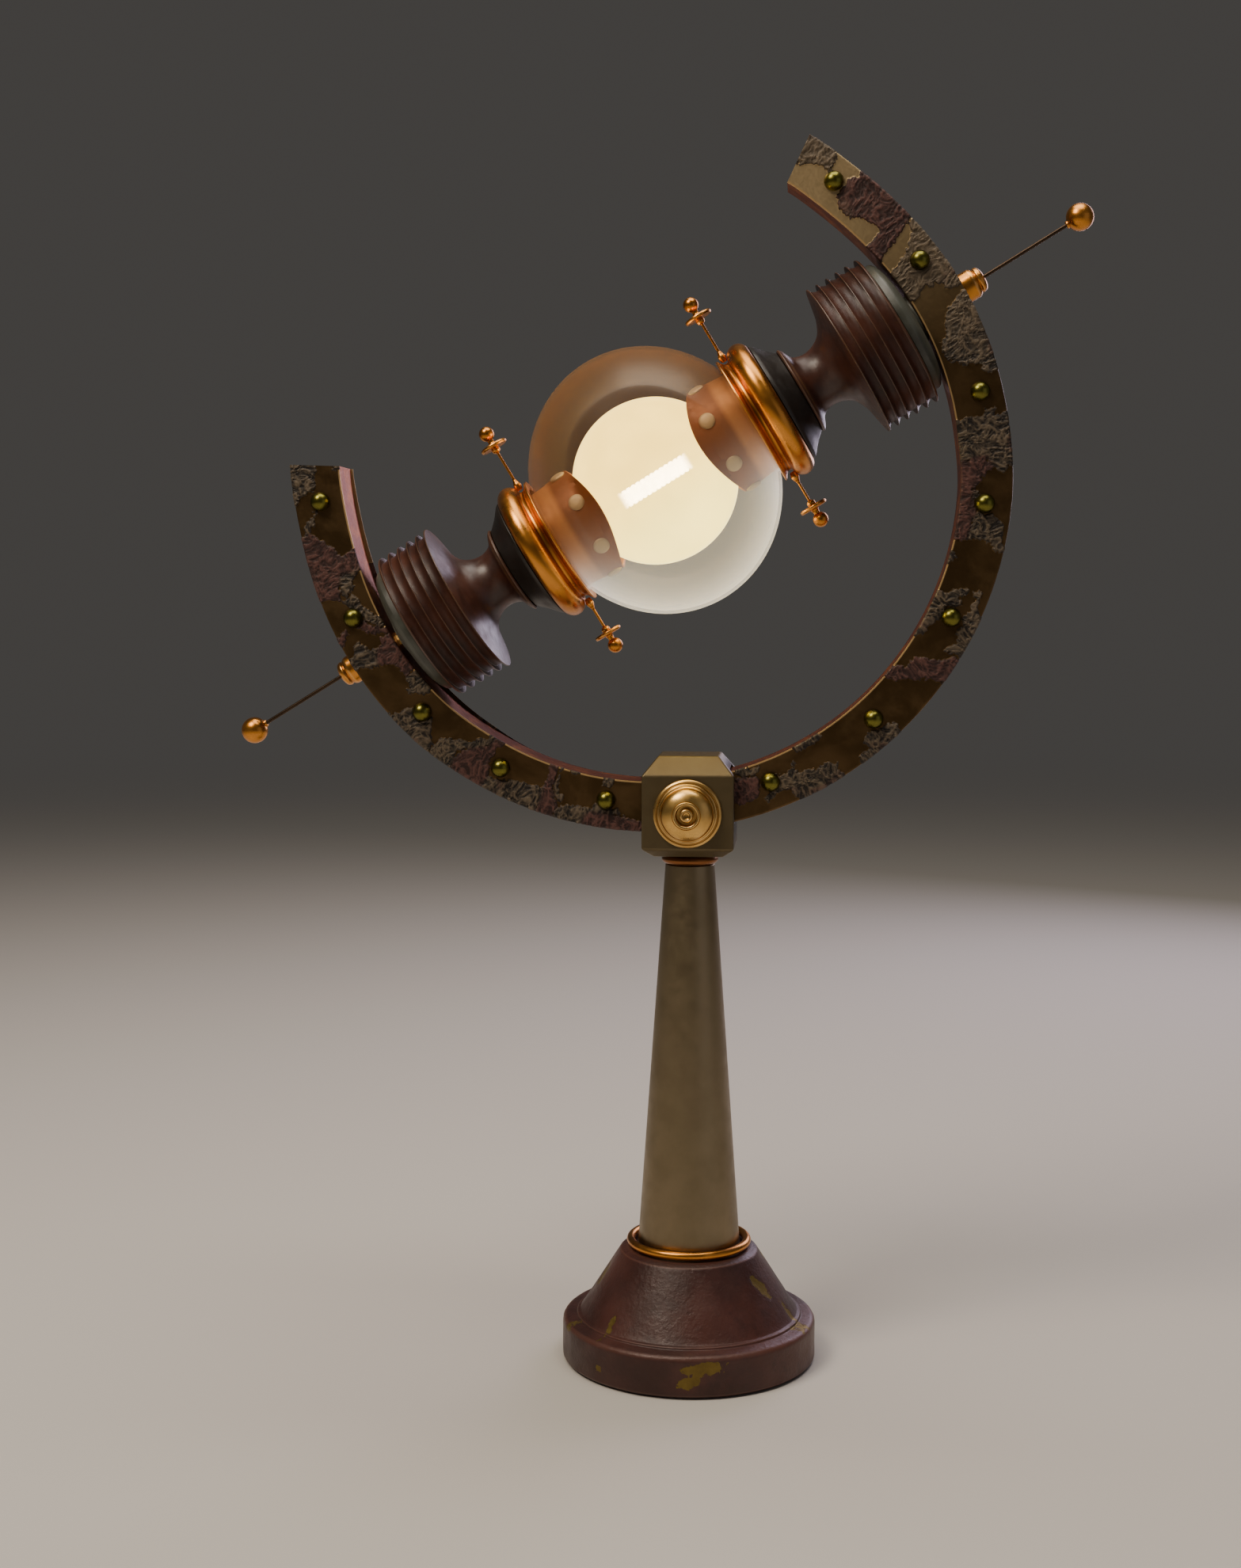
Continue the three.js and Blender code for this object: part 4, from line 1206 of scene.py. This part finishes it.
def cup_outline(low, high, radius):
    rim = low + 1.6
    return [
        (3.8, low),
        (radius, low, 0.4),
        *bend(12, rim, radius - 12, high - 1.6 - rim, 4, 88, 20),
        (9, high - 1.2, 0.5),
        (9, high, 0.2),
        (3.8, high),
    ]


def nut_outline(low, high, radius):
    """A cup nut, its foot sunk a little into the arc, with a groove and a rounded end."""
    return [
        (2.2, low - 1.2),
        (radius, low - 1.2, 0.2),
        (radius, low + 3.4, 1.2),
        (4.9, low + 4.5, 0.4),
        (4.3, low + 4.7, 0.2),
        (4.5, low + 5.0, 0.2),
        (4.8, low + 5.6, 0.5),
        (4.4, low + 6.9, 0.9),
        (3.0, high - 0.2, 0.6),
        (1.1, high, 0.2),
        (1.1, low + 5.2),
        (2.2, low + 5.2),
    ]


def add_arc():
    core = in_stand(core_shape(), ARC)
    add("arc_casting", core, STAND, "arc", "arc_copper", ARC_COPPER, "arc_core")
    for side, turn, name in ((-1, 1, "front"), (1, -1, "back")):
        plate = in_stand(plate_shape(side, turn), ARC)
        node = f"arc_{name}_plate"
        add(f"arc_{name}_crusted", plate, STAND, "arc", "worn_brass", CRUSTED, node)
    rivets = sorted(name for name in frame["nodes"] if name.startswith("arc_rivet_"))
    for node in rivets:
        low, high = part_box(node)
        place = place_along((low + high) / 2, (0, -1, 0), side=(1, 0, 0))
        shape = turned(rivet_outline(*turned_size(node, place)), AROUND_SMALL)
        add(f"{node}_ball", shape, place, "arc", "rivet_brass", RIVET, node)
    for side, place in ENDS.items():
        cup = plain_turned(f"bearing_cup_{side}", place, cup_outline)
        add(f"cup_{side}", cup, place, "arc", "cup_enamel", CUP, f"bearing_cup_{side}")
        nut = plain_turned(f"terminal_nut_{side}", place, nut_outline, AROUND_SMALL)
        add(f"terminal_{side}", nut, place, "arc", "copper", COPPER, f"terminal_nut_{side}")


# ------------------------------------------------------------------ lamp

STUDS = 7  # round each cap

def axle_outline(low, high, radius):
    thick_end = 134.2
    return [
        (0, low),
        (radius, low, 0.2),
        (radius, thick_end, 0.2),
        (0.7, thick_end),
        (0.7, high, 0.1),
        (0, high),
    ]


def ball_outline(low, high, radius):
    centre = high - radius
    ball = bend(0, centre, radius, radius, -74, 90, 24)
    ball[-1] = (0, high)
    return [(0, low - 0.6), (1.3, low - 0.6, 0.3), (1.4, low + 0.15, 0.1), *ball]


def insulator_outline(low, high, radius):
    """A waisted neck, a thin flared flange, and barbed ridges on the sleeve behind it."""
    flange = 81.9
    ridges = 5
    pitch = 3.98
    ridge_r = radius - 0.2
    valley_r = ridge_r - 2.1
    outline = [
        (2.4, low),
        (16.4, low, 0.2),
        (16.9, low + 0.7, 0.6),
        (15.6, low + 1.8, 0.8),
        (11.9, low + 3.3, 1.5),
        (10.4, low + 7, 2.5),
        (10.9, low + 11.4, 2.5),
        (13.4, low + 15.6, 2.2),
        (18.5, low + 18.1, 2.2),
        (radius, flange - 0.35, 0.2),
        (radius, flange + 0.1, 0.2),
    ]
    for i in range(1, ridges + 1):
        barb = flange + i * pitch
        outline.append((ridge_r - 0.9, barb - pitch + 0.4, 0.5))
        outline.append((ridge_r - 1.6, barb - pitch + 1.2, 0.8))
        outline.append((valley_r, barb - 1.5))
        outline.append((valley_r, barb - 0.15, 0.3))
        outline.append((ridge_r, barb - 0.5, 0.12))
        outline.append((ridge_r, barb - 0.2, 0.12))
    outline += [(ridge_r - 0.6, high, 0.2), (2.4, high)]
    return outline


def cone_outline(low, high, radius):
    return [
        (2.4, low),
        (radius, low, 0.5),
        (radius - 0.6, low + 1.2, 0.8),
        (19.2, low + 4.4, 2.0),
        (16.9, high - 0.8, 0.4),
        (16.2, high, 0.2),
        (2.4, high),
    ]


def collar_outline(low, high, radius):
    """A thin flange, a hollow groove and a fat bead, bored for the glass and the cap."""
    bead = 49.1
    groove = radius - 4.5
    return [
        (2.4, 48.5),
        (21.6, 48.5),
        (21.6, low, 0.2),
        (24.9, low - 0.1, 0.3),
        (24.8, low + 0.5, 0.3),
        (groove + 0.9, low + 1.5, 0.9),
        (groove, low + 2.6, 0.6),
        (groove + 0.2, low + 3.8, 0.3),
        *bend(groove, bead, 4.5, high + 0.4 - bead, -74, 65, 20),
        (2.4, high, 0.3),
    ]


def cap_shape(side):
    """A studded bell. Its mouth is bowed and laps furthest over the bulb in front and behind."""
    node, place = f"cap_{side}", ENDS[side]
    lip, high, _ = turned_size(node, place)
    _, _, bulb_r = turned_size("bulb", LAMP)
    rim = 26.2  # where the mouth is at its sides
    wall = 1.2
    gap = 0.5  # between the bulb and the bell
    wide = 20.8
    shoulder = 38  # where the bell starts to narrow to its back
    back_r = radius_at(node, place, high - 3)
    heights = (24, 31, shoulder, high - 3)
    radii = (wide, wide - 0.3, back_r + 0.3, back_r)
    ball = {True: (bulb_r + gap + wall) ** 2, False: (bulb_r + gap) ** 2}

    def radius_of(height, outer):
        """The bell's radius at a height: it follows the bulb round until it is wide."""
        plain = np.interp(height, heights, radii) - (0 if outer else wall)
        return max(math.sqrt(max(0.0, ball[outer] - height**2)), plain)

    steps = 2 * AROUND
    rear = [(back_r, high, 2.5), (1.5, high), (1.5, high - wall), (back_r - wall, high - wall, 2)]
    outlines = []
    for k in range(steps):
        across = math.cos(2 * math.pi * k / steps)
        mouth = lip
        for _ in range(4):
            mouth = lip + (rim - lip) * (radius_of(mouth, True) * across / wide) ** 2
        levels = [mouth + (shoulder - mouth) * i / 10 for i in range(11)]
        outside = [(radius_of(h, True), h, 0.0) for h in levels]
        inside = [(radius_of(h, False), h, 0.0) for h in reversed(levels)]
        outside[0] = (*outside[0][:2], 0.3)
        inside[-1] = (*inside[-1][:2], 0.3)
        outlines.append(outside + rear + inside)
    bell = spun(outlines)
    studs = [stud_on(side, i, lambda height: radius_of(height, True)) for i in range(STUDS)]
    made = together(bell, *studs)
    bare = len(bell.points)
    marks = {**made.marks, "stud": [0.0] * bare + [1.0] * (len(made.points) - bare)}
    return made._replace(marks=marks)


def stud_on(side, number, radius_of):
    """A flat domed stud by the cap's mouth, which it follows round."""
    dome = [(2.95, -0.8), (3.05, 0.3, 0.25), (2.5, 0.8, 0.4), (1.3, 1.05, 0.4)]
    outline = [(0, -0.8), *dome, (0, 1.1)]
    lean = 1 if side == "right" else -1
    angle = math.radians(19.3 + 360 * number / STUDS)
    out = Vector((-lean * math.sin(angle), -math.cos(angle), 0))
    height = 27.0 + 2.8 * math.sin(angle) ** 2
    seat = out * (radius_of(height) - 0.1) + Vector((0, 0, height))
    return moved(turned(outline, AROUND_SMALL), place_along(seat, out, side=(0, 0, 1)))


def angle_at(half_height, height):
    """Where an ellipse of a half height reaches a height, in degrees."""
    return math.degrees(math.asin(height / half_height))


def globe_outline(low, high, radius):
    neck = radius_at("globe", LAMP, high)
    axial = 45.2
    wall = 1.2
    shoulder = 39.6
    outer = angle_at(axial, shoulder + 0.4)
    inner = angle_at(axial - wall, shoulder)
    outside = [
        (neck, low),
        (neck, -shoulder - 0.9, 0.5),
        *bend(0, 0, radius, axial, -outer, outer, 64),
        (neck, shoulder + 0.9, 0.5),
        (neck, high),
    ]
    inside = [
        (neck - 0.7, high),
        (neck - 0.7, shoulder + 0.2, 0.4),
        *bend(0, 0, radius - wall, axial - wall, inner, -inner, 64),
        (neck - 0.7, -shoulder - 0.2, 0.4),
        (neck - 0.7, low),
    ]
    return outside + inside


def bulb_outline(low, high, radius):
    mouth = math.sqrt(radius**2 - high**2)
    wall = 1.0
    outer = math.degrees(math.acos(mouth / radius))
    inner = math.degrees(math.acos(mouth / (radius - wall)))
    outside = bend(0, 0, radius, radius, -outer, outer, 48)
    return outside + bend(0, 0, radius - wall, radius - wall, inner, -inner, 48)


def filament_outline(low, high, radius):
    """A close coil: rounded turns side by side."""
    turns = 15
    pitch = (high - low) / turns
    outline = [(0, low)]
    for i in range(turns):
        middle = low + (i + 0.5) * pitch
        outline += bend(radius - 0.5, middle, 0.5, pitch * 0.48, -80, 80, 6)
    return [*outline, (0, high)]


def finial_outline(low, high, radius):
    """Ferrule, thin rod, hub, disc and ball, turned in one piece."""
    ball_r = 2.8
    reach = high - ball_r
    disc = reach - 5.2
    ball = bend(0, reach, ball_r, ball_r, -66, 90, 20)
    ball[-1] = (0, high)
    return [
        (0, low),
        (1.0, low, 0.15),
        (1.3, low + 1, 0.3),
        (1.5, low + 2.2, 0.4),
        (0.9, low + 3.6, 0.5),
        (0.5, low + 4.6, 0.5),
        (0.5, disc - 2.9, 0.3),
        (1.3, disc - 2.5, 0.3),
        (1.7, disc - 1.6, 0.4),
        (1.5, disc - 0.8, 0.2),
        (radius - 0.4, disc - 0.7, 0.2),
        (radius, disc, 0.5),
        (radius - 0.4, disc + 0.7, 0.2),
        (1.7, disc + 0.8, 0.2),
        (1.2, disc + 1.6, 0.3),
        *ball,
    ]


def add_lamp_end(side, place):
    def put(piece, node, outline, slot, material, steps=AROUND, closed=True):
        shape = turned(outline(*turned_size(node, place)), steps, closed)
        add(f"{piece}_{side}", shape, place, "lamp", slot, material, node)

    put("axle_rod", f"axle_{side}", axle_outline, "steel", ROD, AROUND_SMALL, False)
    put("tip_ball", f"end_ball_{side}", ball_outline, "copper", COPPER, 64, False)
    put("sleeve", f"insulator_{side}", insulator_outline, "insulator_glaze", OXBLOOD)
    put("black_cone", f"cone_{side}", cone_outline, "cone_black", BLACK)
    put("lamp_collar", f"collar_{side}", collar_outline, "copper", COPPER)
    add(f"studded_cap_{side}", cap_shape(side), place, "lamp", "copper", CAP, f"cap_{side}")


def add_finial(node):
    """A finial stands square to the lamp's axis, pointing away from it."""
    low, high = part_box(node)
    centre = LAMP.inverted() @ ((low + high) / 2)
    out = 1 if centre.x > 0 else -1
    foot = LAMP @ Vector((0, 0, centre.z))
    place = place_along(foot, LAMP.to_3x3() @ Vector((out, 0, 0)))
    shape = turned(finial_outline(*turned_size(node, place)), AROUND_SMALL)
    add(f"{node}_turned", shape, place, "lamp", "copper", COPPER, node)


def add_lamp():
    glass = plain_turned("globe", LAMP, globe_outline, 128)
    add("globe_blown", glass, LAMP, "lamp", "globe_glass", GLASS, "globe")
    bulb = plain_turned("bulb", LAMP, bulb_outline)
    add("bulb_frosted", bulb, LAMP, "lamp", "bulb_glass", BULB, "bulb")
    coil = turned(filament_outline(*turned_size("filament", LAMP)), AROUND_SMALL)
    add("filament_coil", coil, LAMP, "lamp", "filament_glow", FILAMENT, "filament")
    for side, place in ENDS.items():
        add_lamp_end(side, place)
    for node in sorted(name for name in frame["nodes"] if name.startswith("finial_")):
        add_finial(node)


# ------------------------------------------------------------------ CAD pieces that stay


def finish_kept_nodes():
    """Small inner pieces keep their CAD shape and get the metal that suits them."""
    inner = ("tie_rod", "tie_nut", "tie_washer", "swivel_pin", "swivel_nut")
    kept = {name: STEEL for name in inner}
    kept["clamp_shoe"] = GOLD
    for side in ENDS:
        kept[f"bearing_bush_{side}"] = GOLD
        kept[f"filament_post_{side}"] = STEEL
    for name, material in kept.items():
        mesh = frame["nodes"][name].data
        mesh.materials.clear()
        mesh.materials.append(material)


# ------------------------------------------------------------------ studio


def add_floor():
    """A pale floor that fades into the backdrop's grey far from the object."""
    mesh = bpy.data.meshes.new("floor")
    work = bmesh.new()
    bmesh.ops.create_circle(work, cap_ends=True, segments=96, radius=6.0)
    work.to_mesh(mesh)
    work.free()
    floor = bpy.data.objects.new("floor", mesh)
    bpy.context.scene.collection.objects.link(floor)
    s = Shader("pale_floor")
    away = s.node("ShaderNodeVectorMath", {0: s.place}, operation="LENGTH").outputs["Value"]
    paint = s.node("ShaderNodeBsdfDiffuse", {"Color": colour("cfcac3")}).outputs[0]
    clear = s.node("ShaderNodeBsdfTransparent").outputs[0]
    mesh.materials.append(s.finish(s.layers(s.between(away, 0.5, 3.2), paint, clear)))


def add_soft_light(name, place, target, size, power, code):
    data = bpy.data.lights.new(name, "AREA")
    data.shape = "SQUARE"
    data.size = size
    data.energy = power
    data.color = colour(code)[:3]
    light = bpy.data.objects.new(name, data)
    bpy.context.scene.collection.objects.link(light)
    light.location = place
    light.rotation_euler = (Vector(target) - Vector(place)).to_track_quat("-Z", "Y").to_euler()


def add_studio():
    add_floor()
    world = bpy.data.worlds.new("studio")
    world.use_nodes = True
    backdrop = world.node_tree.nodes["Background"]
    backdrop.inputs["Color"].default_value = colour("8a8682")
    backdrop.inputs["Strength"].default_value = 0.24
    bpy.context.scene.world = world
    middle = (cad_low + cad_high) / 2
    add_soft_light("key", (-0.55, -0.55, 1.2), middle, 0.5, 10, "fff0dc")
    add_soft_light("fill", (1.0, -0.7, 0.45), middle, 0.9, 0.6, "f4f1ff")
    add_soft_light("top", (0.05, 0.0, 1.3), middle, 0.8, 9, "fff6ea")
    add_soft_light("back", (0.5, 0.95, 0.6), middle, 0.6, 4, "f3e6ff")


def add_camera():
    data = bpy.data.cameras.new("camera")
    data.lens = 47.97
    data.sensor_width = 36
    data.clip_start = 0.01
    camera = bpy.data.objects.new("camera", data)
    bpy.context.scene.collection.objects.link(camera)
    camera.location = (0.0451, -0.7697, 0.2877)
    camera.rotation_euler = (math.radians(90 - 5.249), 0, math.radians(5.273))
    bpy.context.scene.camera = camera


add_camera()
add_stand()
add_head()
add_arc()
add_lamp()
finish_kept_nodes()
add_studio()
